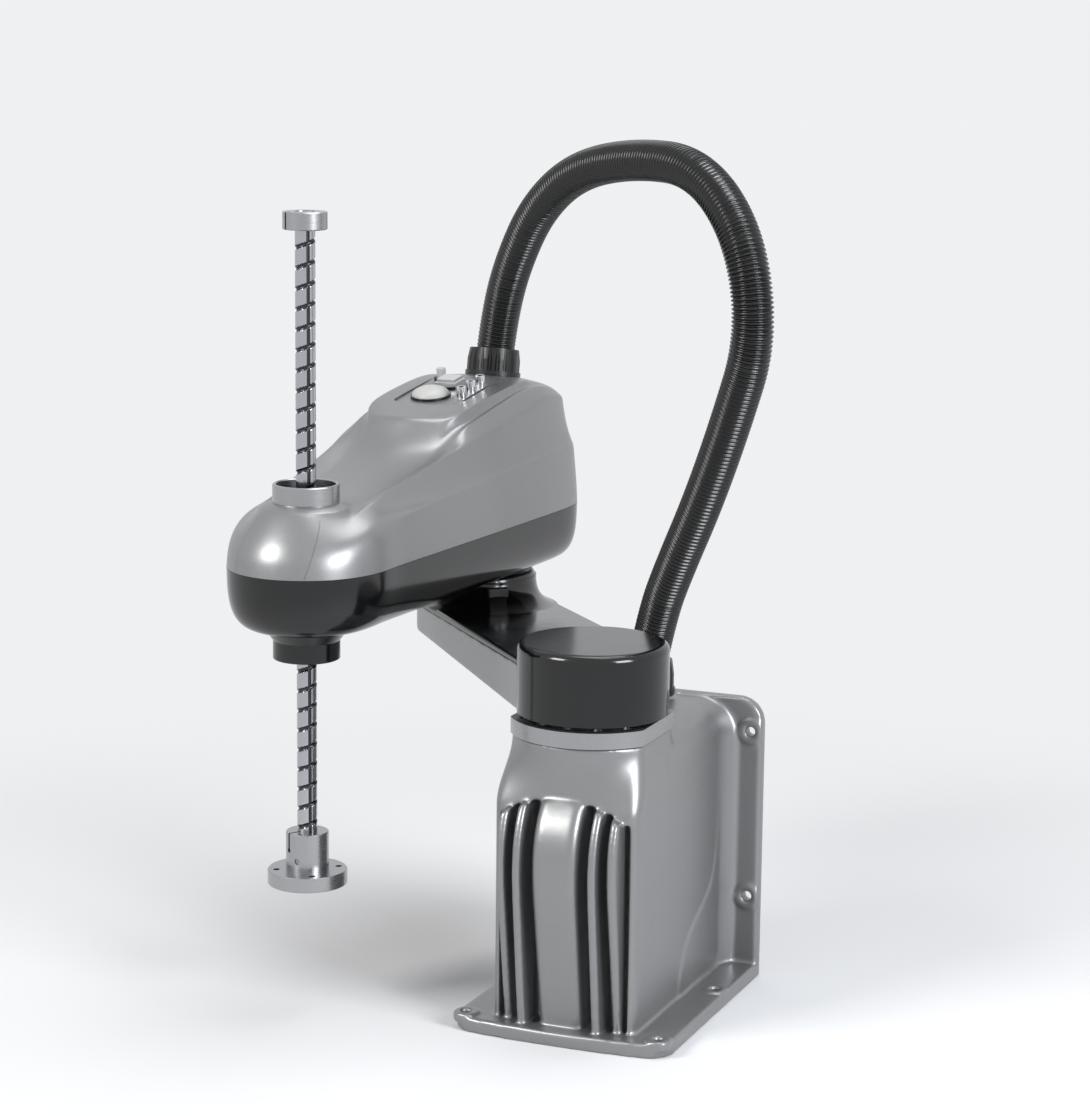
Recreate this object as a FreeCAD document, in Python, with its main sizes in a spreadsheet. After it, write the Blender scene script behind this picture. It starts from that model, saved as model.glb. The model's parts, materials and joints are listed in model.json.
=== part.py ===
import FreeCAD, Part
import math
import os
from types import SimpleNamespace

import Sketcher
from FreeCAD import Placement, Rotation, Vector

# Four-axis selective-compliance arm robot, in millimetres. The origin is on the first joint's axis in the
# foot's mounting plane, +Z up, the ribbed front of the base towards -Y and the back plate towards +Y.

doc = FreeCAD.newDocument("SelectiveComplianceArm")
sheet = doc.addObject("Spreadsheet::Sheet", "Sizes")

# Driving dimensions: name, value and what it measures
SIZES = [
    ("shoulder_link", 400.0, "first joint axis to second joint axis"),
    ("elbow_link", 400.0, "second joint axis to quill axis"),
    ("shoulder_heading", 129.7, "degrees, direction of the inner arm at rest"),
    ("elbow_heading", -92.0, "degrees, direction of the outer arm at rest"),
    ("gap", 0.3, "clearance between pieces that do not touch"),

    ("foot_half_width", 114.5, "middle to side of the foot flange"),
    ("foot_thickness", 15.0, "thickness of the foot flange"),
    ("foot_front", 93.0, "first axis to the middle of the flange's front edge"),
    ("foot_front_radius", 900.0, "bow of the flange's front edge"),
    ("foot_corner", 26.0, "corner radius of the flange"),
    ("pad_radius", 13.0, "raised pad round each mounting hole"),
    ("pad_height", 2.5, "height of each pad above the flange"),
    ("bolt_radius", 5.5, "mounting hole"),
    ("bolt_half_span", 102.4, "middle to each row of mounting holes"),
    ("foot_bolt_front", 73.5, "first axis to the front holes"),
    ("foot_bolt_rear", 92.4, "first axis to the rear holes"),
    ("back_bolt_low", 88.7, "foot to the lower holes of the back plate"),
    ("back_face", 203.0, "first axis to the back plate's mounting face"),
    ("back_thickness", 14.6, "thickness of the back plate"),
    ("back_height", 301.0, "height of the back plate"),
    ("back_bolt_drop", 35.1, "top of the back plate to its upper holes"),
    ("back_corner", 27.0, "corner radius of the back plate"),
    ("body_half_width", 75.5, "middle to side wall of the casting"),
    ("body_front", 77.0, "first axis to the front of the casting"),
    ("body_corner", 12.0, "upright front corners"),
    ("body_step", 3.0, "top of the back plate to the top of the casting behind the ring"),
    ("body_round", 35.0, "rounding of the long top edges"),
    ("body_flare", 13.5, "how far the side walls run out into the back plate"),
    ("casting_wall", 7.0, "wall of the casting"),
    ("neck_start", 236.0, "height where the walls begin to draw in to the ring"),
    ("neck_top", 300.0, "height of the seat for the ring plate"),
    ("neck_half_width", 69.5, "middle to the flats of the neck"),
    ("neck_radius", 80.0, "round front of the neck"),
    ("arch_half_width", 67.5, "middle to side of the arched front recess"),
    ("arch_crown", 246.0, "height of the arch in the middle"),
    ("arch_spring", 226.0, "height of the arch at its sides"),
    ("recess_floor", 52.0, "first axis to the floor of the recess"),
    ("column_half_width", 23.7, "half the width of the middle column"),
    ("column_round", 9.0, "rounding of the column's edges"),
    ("column_front", 107.0, "first axis to the column's fullest point"),
    ("rib_inner", 39.4, "middle to the inner pair of ribs"),
    ("rib_outer", 57.7, "middle to the outer pair of ribs"),
    ("rib_half_width", 4.5, "half the thickness of a rib"),
    ("rib_round", 3.2, "rounding of a rib's edges"),
    ("rib_front", 105.0, "first axis to a rib's fullest point"),
    ("bulge_height", 192.0, "height of the fullest point"),
    ("relief_rise", 1.6, "step of the raised field on each side wall"),

    ("ring_radius", 82.0, "round front of the ring plate"),
    ("ring_half_width", 70.0, "middle to the flats of the ring plate"),
    ("ring_thickness", 16.0, "thickness of the ring plate"),
    ("ring_bore", 57.0, "bore of the ring plate"),
    ("ring_screw_circle", 69.0, "radius of the circle of screws"),
    ("ring_screw_count", 14, "places on that circle, of which those at the flats stay empty"),
    ("ring_screw_head", 5.5, "radius of a screw's head"),
    ("ring_screw_sink", 1.2, "how deep a head sits under the face"),
    ("head_height", 5.0, "height of a screw's head"),
    ("reducer_radius", 56.0, "shoulder reducer"),
    ("reducer_height", 42.0, "height of the shoulder reducer"),
    ("motor_half_width", 40.0, "half the width of the shoulder motor"),
    ("motor_height", 96.0, "height of the shoulder motor"),
    ("hub_radius", 48.0, "output hub under the inner arm"),

    ("panel_half_width", 56.0, "half the width of the connector panel"),
    ("panel_low", 62.0, "foot to the panel's lower edge"),
    ("panel_high", 142.0, "foot to the panel's upper edge"),
    ("panel_depth", 15.0, "mounting face to the panel's seat"),
    ("panel_thickness", 3.0, "thickness of the panel"),
    ("panel_ledge", 7.0, "width of the ledge that the panel is screwed to"),
    ("plug_reach", 8.0, "how far the connectors stand out of the panel"),
    ("plug_wall", 2.5, "wall of each connector"),
    ("inlet_start", -40.0, "middle of the panel to the power inlet's near side"),
    ("inlet_width", 30.0, "width of the power inlet"),
    ("inlet_height", 24.0, "height of the power inlet"),
    ("signal_radius", 8.0, "round signal sockets"),
    ("signal_first", 2.0, "middle of the panel to the first round socket"),
    ("signal_step", 20.0, "first round socket to the second"),
    ("network_start", 34.0, "middle of the panel to the network socket's near side"),
    ("network_width", 15.0, "width of the network socket"),
    ("network_height", 16.0, "height of the network socket"),

    ("base_gland_x", -8.0, "place of the hose gland on the base"),
    ("base_gland_y", 172.0, "first axis to the hose gland on the base"),
    ("gland_flange_radius", 30.5, "flange of a hose gland"),
    ("gland_flange_height", 5.0, "height of the flange"),
    ("gland_nut_radius", 29.0, "nut of a hose gland over its ribs"),
    ("gland_rib_depth", 2.0, "depth of the grooves between the ribs"),
    ("gland_rib_count", 20, "number of ribs"),
    ("base_nut_height", 30.0, "height of the nut on the base"),
    ("arm_nut_height", 25.0, "height of the nut on the arm"),
    ("hose_radius", 21.0, "outside of the corrugated hose"),

    ("arm_low", 318.5, "underside of the inner arm"),
    ("arm_radius", 72.0, "end radius of the inner arm at the shoulder"),
    ("arm_elbow_radius", 71.0, "end radius of the inner arm at the elbow"),
    ("arm_edge", 367.1, "height of the casting's top edge at the shoulder"),
    ("arm_fall", 17.6, "how much that edge falls along the link"),
    ("arm_wall", 6.0, "side wall of the inner casting"),
    ("arm_floor", 10.0, "floor of the inner casting"),
    ("lid_thickness", 5.0, "height of the black cover above the edge"),
    ("lid_round", 4.0, "rounding of the cover's edge"),
    ("neck_foot", 70.0, "radius of the elbow neck where it leaves the cover"),
    ("neck_waist", 60.5, "radius of the elbow neck at its waist"),
    ("neck_lip", 56.0, "radius of the elbow neck at its top"),
    ("elbow_level", 389.0, "height of the top of the elbow neck"),
    ("elbow_bore", 46.0, "opening in the top of the neck"),
    ("elbow_hub_radius", 42.0, "output hub of the elbow"),
    ("cap_radius", 75.5, "shoulder cap"),
    ("cap_low", 319.5, "lower edge of the shoulder cap"),
    ("cap_top", 390.3, "top of the shoulder cap"),
    ("cap_round", 8.0, "rounding of the cap's top edge"),
    ("cap_wall", 3.0, "wall of the cap"),
    ("stop_width", 22.0, "width of the stop block on the neck"),
    ("stop_low", 366.0, "underside of the stop block"),
    ("stop_height", 12.0, "height of the stop block"),
    ("stop_reach", 70.0, "elbow axis to the block's outer face"),

    ("cover_low", 396.0, "underside of the outer arm"),
    ("seam_level", 459.0, "seam between the two covers of the outer arm"),
    ("cover_wall", 3.0, "wall of both covers"),
    ("nose_radius", 82.5, "end radius of the outer arm at the quill"),
    ("tail_reach", 98.0, "elbow axis to the outer arm's rear face"),
    ("tail_half_width", 91.5, "half the width of the outer arm at the elbow"),
    ("tail_corner", 45.0, "rear corners of the outer arm"),
    ("nose_height", 60.5, "seam to the deck round the quill"),
    ("hump_height", 155.0, "seam to the full height of the hump"),
    ("crown_level", 604.8, "height of the top panel over the elbow"),
    ("crown_reach", 35.0, "elbow axis to where the top panel begins to slope"),
    ("crown_fall", 0.15, "slope of the top panel towards the quill"),
    ("frame_low", 440.0, "underside of the frame inside the outer arm"),
    ("frame_thickness", 12.0, "thickness of that frame"),
    ("frame_inset", 5.0, "seam outline to the frame's edge"),
    ("elbow_opening", 52.0, "opening for the elbow in the lower cover"),
    ("elbow_reducer_radius", 50.0, "elbow reducer"),
    ("elbow_motor_radius", 36.0, "elbow motor"),
    ("elbow_motor_height", 110.0, "height of the elbow motor"),

    ("quill_radius", 10.0, "quill shaft"),
    ("quill_bore", 5.5, "bore through the quill shaft"),
    ("quill_low", 136.0, "lower end of the quill shaft"),
    ("quill_top", 807.0, "upper end of the quill shaft"),
    ("groove_radius", 1.6, "ball grooves along the shaft"),
    ("groove_count", 3, "number of those grooves"),
    ("running_fit", 0.05, "radial clearance of the spline nut on the shaft"),
    ("nut_play", 0.45, "radial clearance of the other pieces round the shaft"),
    ("collar_radius", 22.0, "clamp collar at the top of the quill"),
    ("collar_height", 17.5, "height of that collar"),
    ("collar_slit", 2.4, "slit of a clamped hub"),
    ("slit_turn", -30.0, "degrees, direction of those slits"),
    ("flange_radius", 40.0, "tool flange"),
    ("flange_low", 134.6, "mounting face of the tool flange"),
    ("flange_thickness", 15.0, "thickness of the tool flange"),
    ("flange_hub_radius", 21.5, "hub of the tool flange"),
    ("flange_hub_height", 39.0, "height of that hub"),
    ("flange_bolt_circle", 31.5, "radius of the circle of tool bolts"),
    ("flange_bolt_radius", 3.3, "tool bolt holes"),
    ("flange_bolt_count", 4, "number of tool bolts"),
    ("flange_bolt_turn", 37.0, "degrees, direction of the first tool bolt"),
    ("set_screw_radius", 3.0, "set screws of the hub"),
    ("ring_outer", 33.2, "machined ring round the quill"),
    ("ring_inner", 29.6, "opening of that ring"),
    ("ring_height", 20.0, "height of that ring"),
    ("boss_radius", 40.0, "boss that carries the ring"),
    ("boss_height", 2.0, "height of that boss above the deck"),
    ("boot_radius", 42.0, "boot under the nose where it meets the cover"),
    ("boot_collar", 33.5, "collar of the boot"),
    ("boot_flare", 11.0, "height of the boot's flare"),
    ("boot_collar_height", 19.0, "height of the boot's collar"),
    ("boot_wall", 4.0, "wall of the boot"),

    ("nut_radius", 20.0, "spline nut"),
    ("nut_low", 386.0, "underside of the spline nut"),
    ("nut_top", 458.0, "top of the spline nut"),
    ("turn_pulley_radius", 28.0, "pulley on the spline nut"),
    ("turn_pulley_height", 13.0, "height of that pulley"),
    ("ball_nut_radius", 16.0, "ball nut"),
    ("ball_nut_low", 476.0, "underside of the ball nut"),
    ("ball_nut_height", 34.0, "height of the ball nut"),
    ("lift_pulley_radius", 25.0, "pulley on the ball nut"),
    ("lift_pulley_height", 12.0, "height of that pulley"),
    ("motor_pulley_radius", 12.5, "pulleys on the two motors"),
    ("belt_thickness", 2.0, "thickness of a toothed belt"),
    ("belt_inset", 2.0, "edge of a pulley to its belt"),
    ("bearing_wall", 9.0, "difference of a bearing's radii"),
    ("bridge_level", 496.0, "underside of the bearing bridge and the motor plate"),
    ("bridge_thickness", 10.0, "thickness of the bridge and the motor plate"),
    ("pillar_offset", 46.0, "quill axis to each pillar of the bridge"),
    ("quill_motor_radius", 24.0, "the two motors that drive the quill"),
    ("quill_motor_height", 64.0, "height of those motors"),
    ("quill_motor_reach", 150.0, "elbow axis to those motors along the arm"),
    ("quill_motor_offset", 32.0, "middle of the arm to each of those motors"),

    ("tray_front", 143.0, "elbow axis to the tray's front edge"),
    ("tray_rear", 25.0, "elbow axis to the tray's rear edge"),
    ("tray_half_width", 39.0, "half the width of the tray"),
    ("tray_depth", 2.5, "depth of the tray in the top panel"),
    ("tray_corner", 10.0, "corners of the tray"),
    ("lamp_radius", 20.0, "white lamp dome"),
    ("lamp_height", 15.0, "height of the dome"),
    ("lamp_reach", 112.0, "elbow axis to the lamp along the arm"),
    ("lamp_offset", -8.0, "middle of the arm to the lamp"),
    ("coupler_radius", 5.0, "round air and signal connectors"),
    ("coupler_height", 12.0, "height of those connectors"),
    ("coupler_offset", 31.0, "middle of the arm to those connectors"),
    ("coupler_first", 70.0, "elbow axis to the rearmost of them"),
    ("coupler_step", 23.0, "from one connector to the next"),
    ("coupler_margin", 8.0, "outer connectors to the ends of their base"),
    ("multipin_reach", 63.0, "elbow axis to the square socket's rear side"),
    ("multipin_offset", -15.0, "middle of the arm to its right side"),
    ("multipin_side", 25.0, "side of the square socket"),
    ("coupler_lip", 2.0, "step round the square socket"),
    ("button_reach", 45.0, "elbow axis to the brake button along the arm"),
    ("button_offset", -28.0, "middle of the arm to the brake button"),
    ("button_radius", 5.0, "brake release button"),
    ("button_height", 10.0, "height of that button over its base"),
    ("button_travel", 2.0, "travel of that button"),
    ("arm_gland_reach", -26.0, "elbow axis to the hose gland along the arm"),
    ("arm_gland_level", 599.5, "height of the hose gland's seat"),
    ("arm_gland_tilt", 9.0, "degrees that the gland leans back"),
]

for row, (alias, value, note) in enumerate(SIZES, start=1):
    sheet.set(f"A{row}", note)
    sheet.set(f"B{row}", str(value))
    sheet.setAlias(f"B{row}", alias)
doc.recompute()
dim = {alias: float(sheet.get(alias)) for alias, _, _ in SIZES}
z = SimpleNamespace(**dim)
body_top = z.back_height - z.body_step
back_bolt_high = z.back_height - z.back_bolt_drop


# Reading and binding sizes

def measure(text):
    """Value of a sum such as 'seam_level - cover_wall * 2', whose words are separated by spaces."""
    total = 0.0
    sign = 1.0
    product = None
    divide = False
    for word in str(text).split():
        if word in ("+", "-"):
            if product is not None:
                total += sign * product
            product = None
            sign = 1.0 if word == "+" else -1.0
        elif word in ("*", "/"):
            divide = word == "/"
        else:
            number = dim[word] if word in dim else float(word)
            if product is None:
                product = number
            elif divide:
                product /= number
            else:
                product *= number
            divide = False
    return total + sign * product


def bind(obj, prop, text):
    """Tie one property of an object to the sizes named in a sum."""
    words = ["Sizes." + word if word in dim else word for word in str(text).split()]
    obj.setExpression(prop, " ".join(words))


# Where each arm stands at rest: x runs along the link, y to its left, z up

SHOULDER = Placement(Vector(0, 0, 0), Rotation(Vector(0, 0, 1), z.shoulder_heading))
elbow_point = SHOULDER.multVec(Vector(z.shoulder_link, 0, 0))
ELBOW = Placement(elbow_point, Rotation(Vector(0, 0, 1), z.elbow_heading))
BASE = Placement()
QUILL = ELBOW * Placement(Vector(z.elbow_link, 0, 0), Rotation())
panel_tilt = math.degrees(math.atan(z.crown_fall))
PANEL = ELBOW * Placement(
    Vector(0, 0, z.crown_level + z.crown_fall * z.crown_reach), Rotation(Vector(0, 1, 0), panel_tilt))
GLAND = ELBOW * Placement(
    Vector(z.arm_gland_reach, 0, z.arm_gland_level), Rotation(Vector(0, 1, 0), -z.arm_gland_tilt))

parts = {}


def keep(label, obj, frame=BASE):
    """Name a sub-part and stand it in its frame."""
    if obj.isDerivedFrom("Part::Primitive"):
        holder = doc.addObject("Part::Compound", label + "_piece")
        holder.Links = [obj]
        obj = holder
    obj.Label = label
    obj.Placement = frame * obj.Placement
    parts[label] = obj
    return obj


# Bound primitives and booleans

TURNS = {"z": Rotation(), "x": Rotation(Vector(0, 1, 0), 90), "y": Rotation(Vector(1, 0, 0), -90)}


def place(obj, x, y, level, along="z"):
    obj.Placement = Placement(Vector(0, 0, 0), TURNS[along])
    bind(obj, "Placement.Base.x", x)
    bind(obj, "Placement.Base.y", y)
    bind(obj, "Placement.Base.z", level)


def cylinder(name, radius, height, level, x="0", y="0", along="z"):
    obj = doc.addObject("Part::Cylinder", name)
    bind(obj, "Radius", radius)
    bind(obj, "Height", height)
    place(obj, x, y, level, along)
    return obj


def box(name, x, y, level, length, width, height):
    obj = doc.addObject("Part::Box", name)
    bind(obj, "Length", length)
    bind(obj, "Width", width)
    bind(obj, "Height", height)
    place(obj, x, y, level)
    return obj


def fuse(name, *pieces):
    obj = doc.addObject("Part::MultiFuse", name)
    obj.Shapes = list(pieces)
    obj.Refine = True
    return obj


def cut(name, base, *tools):
    obj = doc.addObject("Part::Cut", name)
    obj.Base = base
    obj.Tool = tools[0] if len(tools) == 1 else fuse(name + "_tools", *tools)
    return obj


def tube(name, outer, inner, height, level, x="0", y="0"):
    return cut(
        name,
        cylinder(name + "_outside", outer, height, level, x, y),
        cylinder(name + "_bore", inner, height, level, x, y))


def feature(name, shape):
    obj = doc.addObject("Part::Feature", name)
    obj.Shape = shape
    return obj


# Bodies made from sketches

def origin_feature(body, role):
    return next(item for item in body.Origin.OriginFeatures if item.Role == role)


def sketch_on(body, name, plane):
    sketch = body.newObject("Sketcher::SketchObject", name)
    sketch.AttachmentSupport = [(origin_feature(body, plane), "")]
    sketch.MapMode = "FlatFace"
    return sketch


def turned(name, corners):
    """Body turned about the upright axis from a closed outline of (radius, level) sums."""
    body = doc.addObject("PartDesign::Body", name)
    sketch = sketch_on(body, name + "_outline", "XZ_Plane")
    points = [Vector(measure(radius), measure(level), 0) for radius, level in corners]
    count = len(points)
    for i in range(count):
        sketch.addGeometry(Part.LineSegment(points[i], points[(i + 1) % count]), False)
    for i in range(count):
        sketch.addConstraint(Sketcher.Constraint("Coincident", i, 2, (i + 1) % count, 1))
    for i, (radius, level) in enumerate(corners):
        if points[i].x == 0:
            sketch.addConstraint(Sketcher.Constraint("PointOnObject", i, 1, -2))
        else:
            across = sketch.addConstraint(Sketcher.Constraint("DistanceX", -1, 1, i, 1, points[i].x))
            bind(sketch, f"Constraints[{across}]", radius)
        up = sketch.addConstraint(Sketcher.Constraint("DistanceY", -1, 1, i, 1, points[i].y))
        bind(sketch, f"Constraints[{up}]", level)
    turn = body.newObject("PartDesign::Revolution", name + "_turn")
    turn.Profile = sketch
    turn.ReferenceAxis = (sketch, ["V_Axis"])
    turn.Angle = 360
    body.Tip = turn
    return body


def drilled(body, radius, circle, count, first_turn, depth):
    """Ring of upright holes through a turned body, from one circle in a sketch and a polar pattern."""
    sketch = sketch_on(body, body.Name + "_hole", "XY_Plane")
    centre = Vector(measure(circle), 0, 0)
    sketch.addGeometry(Part.Circle(centre, Vector(0, 0, 1), measure(radius)), False)
    size = sketch.addConstraint(Sketcher.Constraint("Radius", 0, measure(radius)))
    bind(sketch, f"Constraints[{size}]", radius)
    sketch.addConstraint(Sketcher.Constraint("PointOnObject", 0, 3, -1))
    reach = sketch.addConstraint(Sketcher.Constraint("DistanceX", -1, 1, 0, 3, centre.x))
    bind(sketch, f"Constraints[{reach}]", circle)
    sketch.AttachmentOffset = Placement(Vector(0, 0, 0), Rotation(Vector(0, 0, 1), measure(first_turn)))
    hole = body.newObject("PartDesign::Pocket", body.Name + "_pocket")
    hole.Profile = sketch
    hole.Reversed = True
    bind(hole, "Length", depth)
    body.Tip = hole
    pattern = body.newObject("PartDesign::PolarPattern", body.Name + "_pattern")
    pattern.Originals = [hole]
    pattern.Axis = (origin_feature(body, "Z_Axis"), [""])
    pattern.Angle = 360
    bind(pattern, "Occurrences", count)
    body.Tip = pattern
    return body


# Outlines

def arc_through(start, middle, end):
    return Part.Arc(start, middle, end).toShape()


def arc_about(centre, radius, start_angle, end_angle):
    """Arc from one angle to another, in degrees, in the direction that they give."""
    def point(angle):
        turn = math.radians(angle)
        return centre + Vector(radius * math.cos(turn), radius * math.sin(turn), 0)
    return arc_through(point(start_angle), point((start_angle + end_angle) / 2), point(end_angle))


def joined(edges):
    """Closed wire of edges in their order, with straight runs between their ends."""
    chain = []
    for edge, following in zip(edges, edges[1:] + edges[:1]):
        chain.append(edge)
        end = edge.lastVertex(True).Point
        start = following.firstVertex(True).Point
        if end.distanceToPoint(start) > 1e-6:
            chain.append(Part.makeLine(end, start))
    return Part.Wire(chain)


def prism(wire, direction):
    return Part.Face(wire).extrude(direction)


def link_outline(reach, start_radius, end_radius, level):
    """Two round ends on the link's line with straight tangents between them."""
    lean = math.degrees(math.acos((start_radius - end_radius) / reach))
    near = Vector(0, 0, level)
    far = Vector(reach, 0, level)
    return joined([
        arc_about(near, start_radius, lean, 360 - lean),
        arc_about(far, end_radius, -lean, lean)])


def arm_outline(inset, level):
    """Seam outline of the outer arm: round nose, straight sides and a squared tail."""
    corner_x = z.tail_corner - z.tail_reach
    corner_y = z.tail_half_width - z.tail_corner
    tail_radius = z.tail_corner - inset
    nose_radius = z.nose_radius - inset
    across = z.elbow_link - corner_x
    spacing = math.hypot(across, corner_y)
    lean = math.degrees(math.acos((tail_radius - nose_radius) / spacing) - math.atan2(corner_y, across))
    return joined([
        arc_about(Vector(z.elbow_link, 0, level), nose_radius, -lean, lean),
        arc_about(Vector(corner_x, corner_y, level), tail_radius, lean, 180),
        arc_about(Vector(corner_x, -corner_y, level), tail_radius, 180, 360 - lean)])


def bowed_front(half_width, front, bow, corner):
    """Where a bowed front edge, its corner arc and the straight side meet, as centres and an angle."""
    bow_centre = Vector(0, bow - front, 0)
    side = half_width - corner
    corner_centre = Vector(side, bow_centre.y - math.sqrt((bow - corner) ** 2 - side ** 2), 0)
    angle = math.degrees(math.atan2(corner_centre.y - bow_centre.y, side))
    return bow_centre, corner_centre, angle


def neck_outline(half_width, front, bow, corner, level):
    """Outline with a bowed front and rear, rounded corners and straight sides."""
    bow_centre, corner_centre, angle = bowed_front(half_width, front, bow, corner)
    up = Vector(0, 0, level)
    bow_x, bow_y = bow_centre.x, bow_centre.y
    side, depth = corner_centre.x, corner_centre.y
    return joined([
        arc_about(Vector(bow_x, bow_y, 0) + up, bow, -180 - angle, angle),
        arc_about(Vector(side, depth, 0) + up, corner, angle, 0),
        arc_about(Vector(side, -depth, 0) + up, corner, 0, -angle),
        arc_about(Vector(bow_x, -bow_y, 0) + up, bow, -angle, 180 + angle),
        arc_about(Vector(-side, -depth, 0) + up, corner, 180 + angle, 180),
        arc_about(Vector(-side, depth, 0) + up, corner, 180, 180 - angle)])


# Base casting: an upright hollow box on a foot flange with a back plate at right angles to it. Its walls
# draw in to a round seat for the ring plate, its long top edges are rounded, and its sides run out into
# the back plate. The front has an arched recess with a broad middle column and two pairs of ribs, which
# bulge below the arch and lean back to the foot.

def round_topped(half_width, top, rounding, low, y):
    """Upright section of the casting across its length."""
    side = half_width - rounding
    return Part.Wire([
        Part.makeLine(Vector(-half_width, y, low), Vector(half_width, y, low)),
        Part.makeLine(Vector(half_width, y, low), Vector(half_width, y, top - rounding)),
        arc_through(
            Vector(half_width, y, top - rounding),
            Vector(side + rounding * math.sqrt(0.5), y, top - rounding * (1 - math.sqrt(0.5))),
            Vector(side, y, top)),
        Part.makeLine(Vector(side, y, top), Vector(-side, y, top)),
        arc_through(
            Vector(-side, y, top),
            Vector(-side - rounding * math.sqrt(0.5), y, top - rounding * (1 - math.sqrt(0.5))),
            Vector(-half_width, y, top - rounding)),
        Part.makeLine(Vector(-half_width, y, top - rounding), Vector(-half_width, y, low))])


def foot_flange():
    bow_centre, corner_centre, angle = bowed_front(
        z.foot_half_width, z.foot_front, z.foot_front_radius, z.foot_corner)
    side, depth = corner_centre.x, corner_centre.y
    rear = z.back_face
    outline = joined([
        arc_about(bow_centre, z.foot_front_radius, -180 - angle, angle),
        arc_about(corner_centre, z.foot_corner, angle, 0),
        Part.makeLine(Vector(z.foot_half_width, rear, 0), Vector(-z.foot_half_width, rear, 0)),
        arc_about(Vector(-side, depth, 0), z.foot_corner, 180, 180 - angle)])
    return prism(outline, Vector(0, 0, z.foot_thickness))


def back_plate():
    half, top, corner = z.foot_half_width, z.back_height, z.back_corner
    front = z.back_face - z.back_thickness
    outline = round_topped(half, top, corner, 0, front)
    return prism(outline, Vector(0, z.back_thickness, 0))


def rib(middle, half_width, foot, bulge, rounding):
    """Upright rib: straight from the foot out towards its fullest point, then curved back under the arch."""
    inside = z.casting_wall / 2 - z.recess_floor
    side = middle - half_width
    top = z.arch_crown + z.casting_wall
    foot_point = Vector(side, -foot, z.foot_thickness)
    fullest = Vector(side, -bulge, z.bulge_height)
    bend = foot_point + (fullest - foot_point) * 0.72
    front = Part.BezierCurve()
    front.setPoles([
        bend,
        fullest + (fullest - foot_point) * 0.06,
        Vector(side, -bulge * 0.7 - z.body_front * 0.3, z.arch_spring),
        Vector(side, 4 - z.body_front, top)])
    edge = front.toShape()
    low = Vector(side, inside, z.foot_thickness)
    high = Vector(side, inside, top)
    wire = Part.Wire([
        Part.makeLine(foot_point, bend),
        edge,
        Part.makeLine(edge.lastVertex(True).Point, high),
        Part.makeLine(high, low),
        Part.makeLine(low, foot_point)])
    blade = prism(wire, Vector(2 * half_width, 0, 0))
    front_edges = [e for e in blade.Edges if e.BoundBox.YMax < inside - 5 and e.BoundBox.ZLength > 20]
    return blade.makeFillet(rounding, front_edges).common(arch_recess(z.gap))


def arch_recess(grow):
    """Space of the recess, with straight sides under a flat arch, grown by a clearance."""
    front = -z.column_front - 20
    low, spring, crown = z.foot_thickness - grow, z.arch_spring + grow, z.arch_crown + grow
    half = z.arch_half_width + grow
    outline = Part.Wire([
        Part.makeLine(Vector(-half, front, low), Vector(half, front, low)),
        Part.makeLine(Vector(half, front, low), Vector(half, front, spring)),
        arc_through(Vector(half, front, spring), Vector(0, front, crown), Vector(-half, front, spring)),
        Part.makeLine(Vector(-half, front, spring), Vector(-half, front, low))])
    return prism(outline, Vector(0, grow * 20 - front - z.recess_floor, 0))


def side_relief():
    """Raised field on a side wall behind a soft curve from the back plate down to the foot."""
    outside = z.body_half_width + z.relief_rise
    inside = z.body_half_width - z.casting_wall / 2
    rear = z.back_face - z.back_thickness
    reach = rear - z.back_face * 0.1
    heights = ((0.75, 1.0), (0.58, 0.99), (0.37, 0.86), (0.22, 0.33), (0.14, 0.21), (0.05, 0.16))
    start = z.body_front * 0.42
    points = [
        Vector(outside, start + (reach - start) * across, z.back_height * height)
        for height, across in heights]
    curve = Part.BSplineCurve()
    curve.interpolate(points)
    edge = curve.toShape()
    foot_point = Vector(outside, rear, z.foot_thickness)
    top_point = Vector(outside, rear, points[0].z)
    wire = Part.Wire([
        edge,
        Part.makeLine(edge.lastVertex(True).Point, foot_point),
        Part.makeLine(foot_point, top_point),
        Part.makeLine(top_point, edge.firstVertex(True).Point)])
    return prism(wire, Vector(inside - outside, 0, 0))


def mirrored_pair(shape):
    return [shape, shape.mirror(Vector(0, 0, 0), Vector(1, 0, 0))]


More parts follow.
